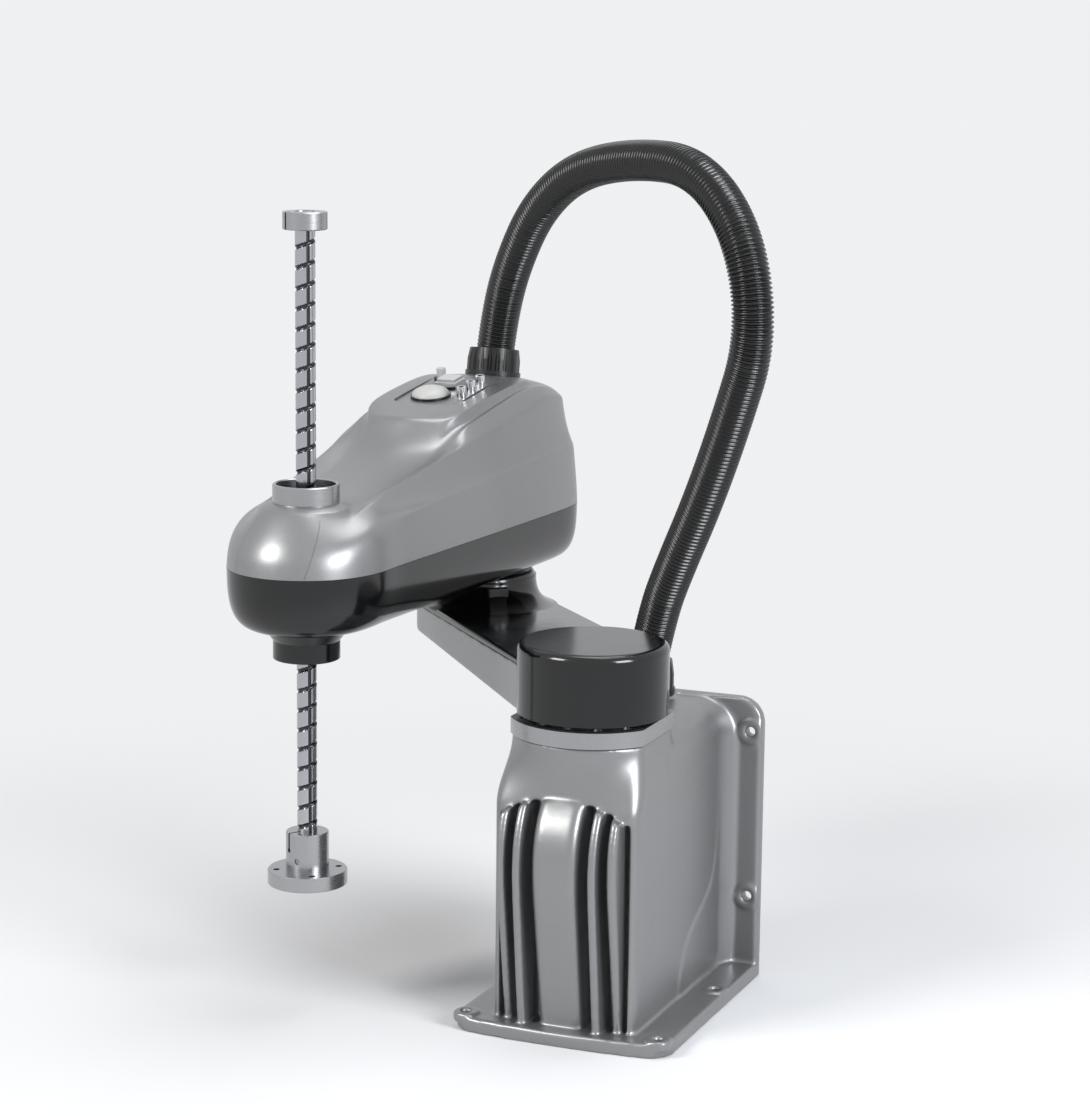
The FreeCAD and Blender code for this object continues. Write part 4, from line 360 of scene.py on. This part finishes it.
# The connector panel in the back. It is sheet steel with a dark powder coat,
# which shows as a fine even orange-peel.
powder_coat = new_finish("dark_powder_coat", "#44464A", 0.55)
bead = add_node(powder_coat.node_tree, "ShaderNodeTexVoronoi", {
    "Vector": object_place(powder_coat), "Scale": 900.0})
fine_relief(powder_coat, bead.outputs["Distance"], 0.3, 0.0002)
cover_in(powder_coat, "connector_panel")


# The small mouldings: hose glands and their nuts, the inlet and the network
# socket, and the bases of the lamp and the button. They are black glass-filled
# nylon with a fine matt grain from the spark-eroded mould.
moulded_nylon = new_finish("moulded_black_nylon", "#070808", 0.32)
grain = noise_on(moulded_nylon, 1100.0, 2.0)
fine_relief(moulded_nylon, grain, 0.3, 0.00012)
uneven_gloss(moulded_nylon, grain, 0.26, 0.4)
cover_in(moulded_nylon, "base_gland", "base_gland_nut", "arm_gland", "arm_gland_nut", "lamp_base",
         "button_base", "power_inlet", "network_socket")


# The corrugated hose. It is a 42 mm polyamide conduit with rings 4.4 mm apart,
# and it carries the cables and air lines from the base to the outer arm in one
# high arch. On the robot its lower half twists with the shoulder and its upper
# half with the elbow. Here it is made as two lengths that meet at the top of the
# arch, and neither length is attached to an arm.
conduit_nylon = new_finish("black_polyamide_conduit", "#08090A", 0.22)
uneven_gloss(conduit_nylon, noise_on(conduit_nylon, 90.0, 3.0), 0.16, 0.28)

# The hose lies in one upright plane: where its upper end is, which way it goes
# from there, and its route as distance along that way and height.
HOSE_TOP = Vector((-0.25440, 0.33840, 0.0))
HOSE_WAY = Vector((0.8290, -0.5600, 0.0)).normalized()
HOSE_ROUTE = [
    (0.0, 0.619), (0.010, 0.668), (0.036, 0.727), (0.084, 0.790), (0.158, 0.834), (0.262, 0.852),
    (0.372, 0.850), (0.449, 0.788), (0.473, 0.690), (0.432, 0.597), (0.390, 0.515),
    (0.344, 0.440), (0.316, 0.388), (0.2973, 0.326),
]
HOSE_RADIUS = 0.021
HOSE_PITCH = 0.0044
HOSE_VALLEY = 0.0022
HOSE_SIDES = 36
# How deep each of a ring's six hoops lies: two on the crest, one down, two in the valley, one up.
RING_DEPTHS = (0.0, 0.0, 0.35, 1.0, 1.0, 0.35)

route = bpy.data.curves.new("hose_route", "CURVE")
route.dimensions = "3D"
route.resolution_u = 24
line = route.splines.new("NURBS")
line.points.add(len(HOSE_ROUTE) - 1)
for point, (along, height) in zip(line.points, HOSE_ROUTE):
    point.co = (*(HOSE_TOP + HOSE_WAY * along)[:2], height, 1.0)
line.order_u = 3
line.use_endpoint_u = True
route_object = bpy.data.objects.new("hose_route", route)
centreline = bpy.data.meshes.new_from_object(route_object)
hose_points = [vertex.co.copy() for vertex in centreline.vertices]
bpy.data.objects.remove(route_object)


def even_steps(points, step):
    """Points at equal steps along a line of points, each with the line's direction there."""
    stations = []
    carried = 0.0
    for first, second in zip(points, points[1:]):
        run = (second - first).length
        direction = (second - first).normalized()
        while carried < run:
            stations.append((first + direction * carried, direction))
            carried += step
        carried -= run
    return stations


def corrugated(name, stations, across):
    """A ringed tube along the stations: crest, shoulder and valley repeat at the hose's pitch."""
    hoops = []
    for place_on, (middle, direction) in enumerate(stations):
        radius = HOSE_RADIUS - HOSE_VALLEY * RING_DEPTHS[place_on % len(RING_DEPTHS)]
        upward = across.cross(direction).normalized()
        hoop = []
        for side in range(HOSE_SIDES):
            turn = 2.0 * math.pi * side / HOSE_SIDES
            hoop.append(middle + (across * math.cos(turn) + upward * math.sin(turn)) * radius)
        hoops.append(hoop)
    faces = []
    for hoop in range(len(hoops) - 1):
        for side in range(HOSE_SIDES):
            after = (side + 1) % HOSE_SIDES
            faces.append((hoop * HOSE_SIDES + side, hoop * HOSE_SIDES + after,
                          (hoop + 1) * HOSE_SIDES + after, (hoop + 1) * HOSE_SIDES + side))
    mesh = bpy.data.meshes.new(name)
    mesh.from_pydata([corner for hoop in hoops for corner in hoop], [], faces)
    piece = bpy.data.objects.new(name, mesh)
    studio.link(piece)
    mesh.materials.append(conduit_nylon)
    mesh.shade_smooth()
    return piece


hose_across = HOSE_WAY.cross(Vector((0.0, 0.0, 1.0)))
stations = even_steps(hose_points, HOSE_PITCH / len(RING_DEPTHS))
summit = max(range(len(stations)), key=lambda index: stations[index][0].z)
summit -= summit % len(RING_DEPTHS)
hose_upper = corrugated("hose_upper", stations[:summit + 1], hose_across)
hose_lower = corrugated("hose_lower", stations[summit:], hose_across)
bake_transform(hose_upper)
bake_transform(hose_lower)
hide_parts("hose")


# The inner arm. An open aluminium casting, painted like the base, is closed by
# glossy black ABS covers: the lid with the neck of the elbow, and the round cap
# over the shoulder.
inner_cast = cast_copy("inner_arm_casting")
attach(inner_cast, "inner_arm")
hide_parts("inner_arm_casting")

gloss_abs = new_finish("high_gloss_black_abs", "#0B0C0D", 0.12)
shader_of(gloss_abs).inputs["IOR"].default_value = 1.54
uneven_gloss(gloss_abs, noise_on(gloss_abs, 60.0, 3.0), 0.09, 0.2)
cover_in(gloss_abs, "inner_arm_cover", "shoulder_cap", "quill_boot")

# The lid rises to the elbow in one hollow sweep, which is longest towards the
# shoulder. The lid itself falls by LID_FALL per metre towards the elbow.
ELBOW_AXIS = Vector((-0.255507, 0.307760, 0.0))
SWEEP_SIDES = 96
SWEEP_STEPS = 18
SWEEP_TOP = 0.3826
SWEEP_NECK = 0.0611
SWEEP_FOOT = 0.0713
SWEEP_LONG = 0.050
SWEEP_WALL = 0.0012
SPREAD_CURVE = 2.2
RISE_CURVE = 1.6
LID_LEVEL = 0.3541
LID_FALL = 0.0446
to_shoulder = (-ELBOW_AXIS).normalized()
bpy.ops.mesh.primitive_grid_add(x_subdivisions=SWEEP_SIDES, y_subdivisions=SWEEP_STEPS, size=1.0)
sweep_neck = bpy.context.object
sweep_neck.name = "elbow_neck_sweep"
for vertex in sweep_neck.data.vertices:
    turn = (vertex.co.x + 0.5) * 2.0 * math.pi
    share = vertex.co.y + 0.5
    facing = Vector((math.cos(turn), math.sin(turn), 0.0))
    ahead = max(0.0, facing.dot(to_shoulder))
    foot = SWEEP_FOOT + SWEEP_LONG * ahead ** 2
    reach = SWEEP_NECK + (foot - SWEEP_NECK) * share ** SPREAD_CURVE
    lid = LID_LEVEL + LID_FALL * facing.dot(to_shoulder) * foot
    height = lid + (SWEEP_TOP - lid) * (1.0 - share) ** RISE_CURVE
    vertex.co = ELBOW_AXIS + facing * reach + Vector((0.0, 0.0, height))
clean_mesh()
shape_by(sweep_neck, "SOLIDIFY", thickness=SWEEP_WALL, offset=-1.0)
sweep_neck.data.materials.append(gloss_abs)
shade_by_angle(sweep_neck, 40.0)
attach(sweep_neck, "inner_arm")


# The outer arm's covers. The upper one is moulded in one shell and painted like
# the castings, with a soft lower ridge and a crisp upper ridge along each side,
# a raised hump at the elbow and a smooth domed nose. The lower one is black ABS.
HEADING = math.radians(-92.0)
ALONG = Vector((math.cos(HEADING), math.sin(HEADING), 0.0))
ACROSS = Vector((-ALONG.y, ALONG.x, 0.0))
UPWARD = Vector((0.0, 0.0, 1.0))
arm_place = Matrix.Translation(ELBOW_AXIS) @ Matrix((ALONG, ACROSS, UPWARD)).transposed().to_4x4()

# Half of the cover in millimetres: along the arm from the elbow, across it, and
# height. One column from the seam to the middle line for each place from the
# tail round to the front of the nose.
COVER_COLUMNS = [
    [(-98, 0, 459), (-97, 0, 479), (-89.5, 0, 522), (-84, 0, 550), (-80, 0, 577), (-64, 0, 594),
     (-48, 0, 596.2), (-36, 0, 599.5), (-15, 0, 602.5), (8, 0, 604.8)],
    [(-98, 35, 459), (-97, 35, 479), (-89.5, 34.6, 522), (-84, 33, 550), (-80, 31.8, 576),
     (-63, 29, 593), (-46.5, 28, 595.5), (-34, 27, 599), (-14, 18, 602.5), (12, 0, 604.8)],
    [(-94, 64, 459), (-92.5, 64, 479), (-86, 61.6, 522), (-80, 57, 550), (-75, 56.3, 575.5),
     (-56, 50.5, 591), (-41, 45, 594), (-30, 42, 598), (-8, 28, 602.5), (17, 0, 604.7)],
    [(-78, 83, 459), (-77, 82.5, 479), (-72, 79.6, 523), (-65, 74, 550), (-60, 71.3, 576.5),
     (-44, 62.5, 590.5), (-30, 55, 594), (-20, 50, 598.5), (3, 32, 603), (22, 0, 604.6)],
    [(-50, 91.8, 459), (-50, 91.5, 480), (-48, 88.7, 525), (-42, 78.9, 532.5), (-38, 78.8, 580.5),
     (-26, 69, 594), (-10.9, 56.9, 593), (-5, 56, 601), (14, 32, 604), (28, 0, 604.5)],
    [(0, 91.4, 459), (0, 91.2, 481), (0, 88.7, 523.5), (2, 78.9, 531), (6, 81, 586), (12, 67.5, 596.5),
     (14.6, 59.4, 596.5), (16, 58.5, 602.6), (26, 31, 604.4), (36, 0, 604.2)],
    [(45, 90.6, 459), (45, 90.4, 482), (45, 88.5, 521.6), (45, 78.7, 529.1), (45, 81.5, 578.6),
     (46, 66, 594.5), (47.3, 59.9, 594.5), (48, 59, 602), (52, 31, 602.2), (56, 0, 601.6)],
    [(119, 88.6, 459), (119, 88.4, 482), (119, 88, 518.5), (119, 78.2, 526), (119, 81, 568),
     (119, 65, 582.5), (119, 59.9, 582.5), (119, 59, 594.2), (119, 31, 592.4), (119, 0, 592.2)],
    [(163, 87.4, 459), (163, 87.2, 482), (163, 87, 516.6), (163, 77.2, 524.1), (163, 77.1, 561),
     (163, 64, 574.5), (161.7, 57.9, 574.5), (161, 57, 587.6), (163, 30, 585.8), (163, 0, 585.6)],
    [(190, 86.5, 459), (190, 86.3, 482), (190, 86.2, 515.5), (190, 76.4, 523), (190, 74, 557),
     (182, 62, 567), (181.3, 47.9, 567), (181, 47, 577.5), (190, 26, 580), (196, 0, 580.6)],
    [(218, 85.6, 459), (218, 85.4, 482), (218, 85.1, 514.3), (218, 74.3, 522.8), (216, 68.2, 551.7),
     (205, 55, 551), (206, 47.5, 551), (207, 40, 551), (214, 20, 550), (219, 0, 549)],
    [(255, 84.5, 459), (255, 84.3, 482), (255, 83.8, 512.8), (255, 72, 520.1), (255, 63.7, 544.2),
     (255, 48, 535.5), (255, 40, 534.2), (255, 32, 533), (255, 16, 532.3), (255, 0, 532)],
    [(305, 82.8, 459), (305, 82.6, 482), (305, 82.3, 510.7), (305, 69.5, 516.8), (305, 59, 535.6),
     (305, 45, 526.5), (305, 37.5, 525.2), (305, 30, 524), (305, 15, 523.5), (305, 0, 523.5)],
    [(354, 80.8, 459), (354, 80.6, 481), (354, 80.3, 507), (354, 66.5, 511.9), (354, 54.7, 524.5),
     (356, 40, 519.5), (358.5, 32, 519.2), (361, 24, 519), (356, 12, 519), (354, 0, 519)],
    [(377.6, 82.1, 459), (377.6, 81.8, 480), (377.6, 80, 503), (377.7, 66.8, 512), (378, 53.5, 518.5),
     (375, 45.5, 518.5), (373.5, 41.2, 518.8), (372, 37, 519), (379, 28, 523.5), (366, 0, 523.5)],
    [(402, 81.4, 459), (402, 81, 479), (402, 77.7, 498), (402, 66.5, 507), (403, 54.5, 512.5),
     (401, 50.5, 515), (400.5, 48.4, 517), (400, 46.3, 519), (400, 35.5, 524), (385, 0, 523.5)],
    [(432.8, 73.8, 459), (432.3, 72.7, 477), (429.4, 68.7, 490), (424.2, 62, 498), (417.5, 55, 505.5),
     (416, 49, 511.5), (417.5, 45.8, 515), (419, 42.5, 518.5), (414.5, 32.5, 523.7), (395, 0, 523.5)],
    [(460, 54, 459), (458.7, 52.8, 474), (454.3, 48.9, 487), (448.6, 43.8, 498), (442.5, 38.3, 508),
     (437.3, 33.6, 515.5), (435.9, 32.4, 517.1), (434.5, 31.1, 518.7), (426.5, 23.8, 524),
     (405, 0, 523.5)],
    [(475.7, 27.5, 459), (474, 26.9, 474), (468.5, 24.9, 487), (461.4, 22.3, 498), (453.8, 19.6, 508),
     (447.2, 17.2, 515.5), (445.4, 16.6, 517.1), (443.7, 15.9, 518.7), (433.5, 12.2, 524),
     (415, 0, 523.5)],
    [(480.8, 0, 459), (478.7, 0, 474), (473.1, 0, 487), (465.4, 0, 498), (457.3, 0, 508),
     (450.3, 0, 515.5), (448.4, 0, 517.1), (446.5, 0, 518.7), (435.6, 0, 524), (425, 0, 523.5)],
]
# How crisp each ridge is: (first column, row, last column, row, crease).
COVER_RIDGES = [
    (2, 2, 4, 2, 0.6), (4, 2, 12, 2, 0.9), (12, 2, 13, 2, 0.5), (3, 4, 5, 4, 0.6), (5, 4, 14, 4, 0.97),
    (14, 4, 16, 4, 0.8), (4, 5, 10, 5, 0.85), (4, 7, 9, 7, 0.85), (9, 7, 9, 9, 0.85), (13, 7, 13, 9, 0.7),
    (13, 7, 19, 7, 0.8), (15, 8, 19, 8, 0.3),
]
COVER_WALL = 0.003
COVER_ROUNDS = 3
COVER_SHARP = 32.0
MIRROR_MERGE = 0.00005
QUILL_REACH = 0.4


def shell_from_columns(name, columns, ridges, wall):
    """A mirrored shell through columns of points, with creased ridges, smoothed and given its wall."""
    rows = len(columns[0])
    points = [Vector(point) / 1000.0 for column in columns for point in column]
    faces = []
    for column in range(len(columns) - 1):
        for row in range(rows - 1):
            low = column * rows + row
            faces.append((low, low + 1, low + rows + 1, low + rows))
    mesh = bpy.data.meshes.new(name)
    mesh.from_pydata(points, [], faces)
    crease = mesh.attributes.new("crease_edge", "FLOAT", "EDGE")
    for first, low_row, last, high_row, sharp in ridges:
        for edge in mesh.edges:
            ends = [divmod(corner, rows) for corner in edge.vertices]
            if all(first <= column <= last and low_row <= row <= high_row for column, row in ends):
                crease.data[edge.index].value = sharp
    piece = bpy.data.objects.new(name, mesh)
    studio.link(piece)
    piece.select_set(True)
    shape_by(piece, "MIRROR", use_axis=(False, True, False), merge_threshold=MIRROR_MERGE)
    shape_by(piece, "SUBSURF", levels=COVER_ROUNDS, render_levels=COVER_ROUNDS)
    clean_mesh(merge=False)
    shape_by(piece, "SOLIDIFY", thickness=wall, offset=-1.0)
    piece.data.transform(arm_place)
    piece.select_set(False)
    return piece


def round_cutter(place, lean, radius, low, high):
    """A round bar, placed on the arm: its foot's middle, its lean in degrees, and its ends."""
    bpy.ops.mesh.primitive_cylinder_add(vertices=96, radius=radius, depth=high - low,
                                        location=(0.0, 0.0, (low + high) / 2.0))
    bar = bpy.context.object
    bpy.ops.object.transform_apply()
    bar.data.transform(arm_place @ Matrix.Translation(place) @ Matrix.Rotation(math.radians(lean), 4, "Y"))
    bar.select_set(False)
    return bar


def cut_from(piece, cutter):
    """Cuts a closed solid out of a piece, and takes the solid away."""
    shape_by(piece, "BOOLEAN", operation="DIFFERENCE", solver="EXACT", object=cutter)
    bpy.data.objects.remove(cutter)


top_shell = shell_from_columns("top_cover_shell", COVER_COLUMNS, COVER_RIDGES, COVER_WALL)

# The mould's parting shows as two fine lines over the nose, from the seam up to
# the boss: each line's turn about the quill at the seam and at its upper end, its
# radius, how far up it runs, and from where it is cast onto the shell.
PARTING_TURNS = ((-32.0, -34.0), (27.0, 44.0))
PARTING_RADIUS = 0.00045
PARTING_RISE = 46.0
PARTING_STEPS = 24
PARTING_DISTANCE = 0.2
nose_middle = arm_place @ Vector((QUILL_REACH, 0.0, 0.4595))
for turn_low, turn_high in PARTING_TURNS:
    parting = bpy.data.curves.new("parting_line", "CURVE")
    parting.dimensions = "3D"
    parting.bevel_depth = PARTING_RADIUS
    parting.bevel_resolution = 2
    parting.use_fill_caps = True
    run = parting.splines.new("POLY")
    run.points.add(PARTING_STEPS)
    for step, point in enumerate(run.points):
        rise = math.radians(PARTING_RISE * step / PARTING_STEPS)
        turn = math.radians(turn_low + (turn_high - turn_low) * step / PARTING_STEPS)
        outward = ALONG * math.cos(turn) + ACROSS * math.sin(turn)
        sight = outward * math.cos(rise) + UPWARD * math.sin(rise)
        touch = top_shell.ray_cast(nose_middle + sight * PARTING_DISTANCE, -sight)[1]
        point.co = (*touch, 1.0)
    thread = bpy.data.objects.new("parting_line", parting)
    groove_bar = bpy.data.objects.new("parting_bar", bpy.data.meshes.new_from_object(thread))
    bpy.data.objects.remove(thread)
    studio.link(groove_bar)
    cut_from(top_shell, groove_bar)

# The openings of the upper cover: one for the ring round the quill, and one for
# the hose gland, which leans back and has its flange let into a flat round seat.
RING_OPENING = 0.0296
RING_OPENING_ENDS = (0.48, 0.56)
GLAND_FOOT = (-0.026, 0.0, 0.5995)
GLAND_LEAN = -9.0
GLAND_OPENING = 0.017
GLAND_SEAT = 0.0308
GLAND_REACH = 0.02
cut_from(top_shell, round_cutter((QUILL_REACH, 0.0, 0.0), 0.0, RING_OPENING, *RING_OPENING_ENDS))
cut_from(top_shell, round_cutter(GLAND_FOOT, GLAND_LEAN, GLAND_OPENING, -GLAND_REACH, GLAND_REACH))
cut_from(top_shell, round_cutter(GLAND_FOOT, GLAND_LEAN, GLAND_SEAT, 0.0, GLAND_REACH))

# The tray in the sloping top panel: the panel's level over the elbow and its
# slope, and the tray's ends along the panel, half width, depth and corners.
PANEL_LEVEL = 0.61005
PANEL_SLOPE = 0.15
TRAY_ENDS = (0.02528, 0.14460)
TRAY_HALF_WIDTH = 0.039
TRAY_DEPTH = 0.0025
TRAY_CORNER = 0.01
CUTTER_HEIGHT = 0.04
panel_place = (arm_place @ Matrix.Translation((0.0, 0.0, PANEL_LEVEL))
               @ Matrix.Rotation(math.atan(PANEL_SLOPE), 4, "Y"))
bpy.ops.mesh.primitive_cube_add(
    size=1.0, location=(sum(TRAY_ENDS) / 2.0, 0.0, CUTTER_HEIGHT / 2.0 - TRAY_DEPTH),
    scale=(TRAY_ENDS[1] - TRAY_ENDS[0], 2.0 * TRAY_HALF_WIDTH, CUTTER_HEIGHT))
tray_cutter = bpy.context.object
bpy.ops.object.transform_apply()
upright = tray_cutter.data.attributes.new("bevel_weight_edge", "FLOAT", "EDGE")
for edge in tray_cutter.data.edges:
    low_end, high_end = [tray_cutter.data.vertices[corner].co for corner in edge.vertices]
    upright.data[edge.index].value = 1.0 if abs(low_end.z - high_end.z) > CUTTER_HEIGHT / 2.0 else 0.0
shape_by(tray_cutter, "BEVEL", width=TRAY_CORNER, segments=6, limit_method="WEIGHT")
tray_cutter.data.transform(panel_place)
cut_from(top_shell, tray_cutter)
top_shell.data.materials.append(silver_paint)
shade_by_angle(top_shell, COVER_SHARP)
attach(top_shell, "outer_arm")
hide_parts("top_cover")
cover_in(silver_paint, "panel_tray")

# The lower cover follows the same outline and turns in under the arm with a full
# round. Its levels are drawn in from the seam's outline by these millimetres, and
# its flat underside ends on a stretch of the arm's middle line.
LOWER_LEVELS = [(0.0, 458.6), (0.1, 446.0), (1.2, 428.0), (5.0, 413.0), (13.0, 402.0), (25.0, 396.6),
                (40.0, 396.2)]
UNDERSIDE_LEVEL = 396.0
UNDERSIDE_ENDS = (-50.0, 430.0)
ARM_ENDS = (0.0, 400.0)
BOOT_OPENING = 0.0295
ELBOW_OPENING = 0.052
LOWER_OPENING_ENDS = (0.38, 0.42)
seam_outline = [Vector(column[0][:2]) for column in COVER_COLUMNS]
lower_columns = []
for place_on, corner in enumerate(seam_outline):
    before = seam_outline[max(place_on - 1, 0)]
    after = seam_outline[min(place_on + 1, len(seam_outline) - 1)]
    inward = (after - before).orthogonal().normalized()
    nearest = Vector((min(max(corner.x, ARM_ENDS[0]), ARM_ENDS[1]), 0.0))
    if inward.dot(nearest - corner) < 0.0:
        inward = -inward
    if corner.y == 0.0:
        inward = Vector((math.copysign(1.0, sum(ARM_ENDS) / 2.0 - corner.x), 0.0))
    column = [(*(corner + inward * step), level) for step, level in LOWER_LEVELS]
    column.append((min(max(corner.x, UNDERSIDE_ENDS[0]), UNDERSIDE_ENDS[1]), 0.0, UNDERSIDE_LEVEL))
    lower_columns.append(column)
bottom_shell = shell_from_columns("bottom_cover_shell", lower_columns, [], COVER_WALL)
cut_from(bottom_shell, round_cutter((QUILL_REACH, 0.0, 0.0), 0.0, BOOT_OPENING, *LOWER_OPENING_ENDS))
cut_from(bottom_shell, round_cutter((0.0, 0.0, 0.0), 0.0, ELBOW_OPENING, *LOWER_OPENING_ENDS))
bottom_shell.data.materials.append(gloss_abs)
shade_by_angle(bottom_shell, COVER_SHARP)
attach(bottom_shell, "outer_arm")
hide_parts("bottom_cover")


# The quill. It is a hollow hardened steel shaft, ground and polished, with one
# ball screw groove of 20 mm lead and three straight spline grooves. The grooves
# are ground but not polished, and their steel is drawn darker than the lands:
# painted shade for the shade that falls in the grooves.
polished_steel = new_finish("ground_and_polished_steel", "#B2B4B7", 0.2, 1.0)
uneven_gloss(polished_steel, noise_on(polished_steel, 350.0, 2.0), 0.12, 0.24)
# The grooves' darker steel is painted shade, not a colour of the steel itself.
groove_painted_shade_steel = new_finish("ground_steel_with_painted_groove_shade", "#3E3F42", 0.32, 1.0)
uneven_gloss(groove_painted_shade_steel, noise_on(groove_painted_shade_steel, 250.0, 2.0), 0.2, 0.4)

QUILL_AXIS = (-0.269467, -0.091997)
QUILL_RADIUS = 0.010
QUILL_LAND = 0.0098
QUILL_ENDS = (0.136, 0.807)
GROOVE_LEAD = 0.020
GROOVE_HALF_WIDTH = 0.0022
GROOVE_DEPTH = 0.0014
SPLINE_TURNS = (-47.0, 73.0, 193.0)
SPLINE_HALF_WIDTH = 0.0015
SPLINE_DEPTH = 0.0009
QUILL_SIDES = 90
QUILL_STEPS = 840


def groove(off, half_width, depth):
    """How deep a round-bottomed groove is at a distance from its middle."""
    return depth * math.sqrt(max(0.0, 1.0 - (off / half_width) ** 2))


bpy.ops.mesh.primitive_grid_add(x_subdivisions=QUILL_SIDES, y_subdivisions=QUILL_STEPS, size=1.0)
quill = bpy.context.object
quill.name = "quill_grooved_shaft"
for vertex in quill.data.vertices:
    turn = (vertex.co.x + 0.5) * 2.0 * math.pi
    height = QUILL_ENDS[0] + (vertex.co.y + 0.5) * (QUILL_ENDS[1] - QUILL_ENDS[0])
    off_helix = (height - GROOVE_LEAD * turn / (2.0 * math.pi) + GROOVE_LEAD / 2.0) % GROOVE_LEAD
    deep = groove(off_helix - GROOVE_LEAD / 2.0, GROOVE_HALF_WIDTH, GROOVE_DEPTH)
    for spline_turn in SPLINE_TURNS:
        off_turn = (turn - math.radians(spline_turn) + math.pi) % (2.0 * math.pi) - math.pi
        deep = max(deep, groove(off_turn * QUILL_RADIUS, SPLINE_HALF_WIDTH, SPLINE_DEPTH))
    reach = QUILL_RADIUS - deep
    vertex.co = (QUILL_AXIS[0] + reach * math.cos(turn), QUILL_AXIS[1] + reach * math.sin(turn), height)
clean_mesh(cap=True)
shade_by_angle(quill, 35.0)
quill.data.materials.append(polished_steel)
quill.data.materials.append(groove_painted_shade_steel)
# Faces on the full radius and the two end faces are polished, and the others lie in a groove and get its
# darker steel, the painted shade.
for face in quill.data.polygons:
    middle = face.center.xy - Vector(QUILL_AXIS)
    face.material_index = 0 if middle.length > QUILL_LAND or abs(face.normal.z) > 0.99 else 1
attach(quill, "quill")
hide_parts("quill_shaft")


# The lamp on the top panel, a shallow dome of milky white polycarbonate. The
# brake button has the same plastic.
lamp_white = new_finish("translucent_white_polycarbonate", "#C2C3C1", 0.4)
two_shades(lamp_white, noise_on(lamp_white, 45.0, 2.0), "#BABBB9", "#CACBC9")
cover_in(lamp_white, "brake_button")
LAMP_PLACE = (0.112, -0.008, 0.0012)
LAMP_RADIUS = 0.020
LAMP_RISE = 0.0092
bpy.ops.mesh.primitive_uv_sphere_add(segments=64, ring_count=32, radius=LAMP_RADIUS)
dome = bpy.context.object
dome.name = "status_lamp_dome"
bpy.ops.object.mode_set(mode="EDIT")
bpy.ops.mesh.select_all(action="SELECT")
bpy.ops.mesh.bisect(plane_co=(0.0, 0.0, 0.0), plane_no=(0.0, 0.0, 1.0), use_fill=True, clear_inner=True)
bpy.ops.object.mode_set(mode="OBJECT")
for vertex in dome.data.vertices:
    vertex.co.z = vertex.co.z * LAMP_RISE / LAMP_RADIUS
dome.data.transform(panel_place @ Matrix.Translation(LAMP_PLACE))
shade_by_angle(dome, 50.0)
dome.data.materials.append(lamp_white)
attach(dome, "outer_arm")
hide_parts("status_lamp")


# The connectors' metal shells, on the top panel and in the back, are chromed.
chrome = new_finish("bright_chrome_plate", "#D9DADC", 0.1, 1.0)
uneven_gloss(chrome, noise_on(chrome, 500.0, 2.0), 0.06, 0.18)
cover_in(chrome, "couplers", "multipin_socket", "signal_socket_1", "signal_socket_2")
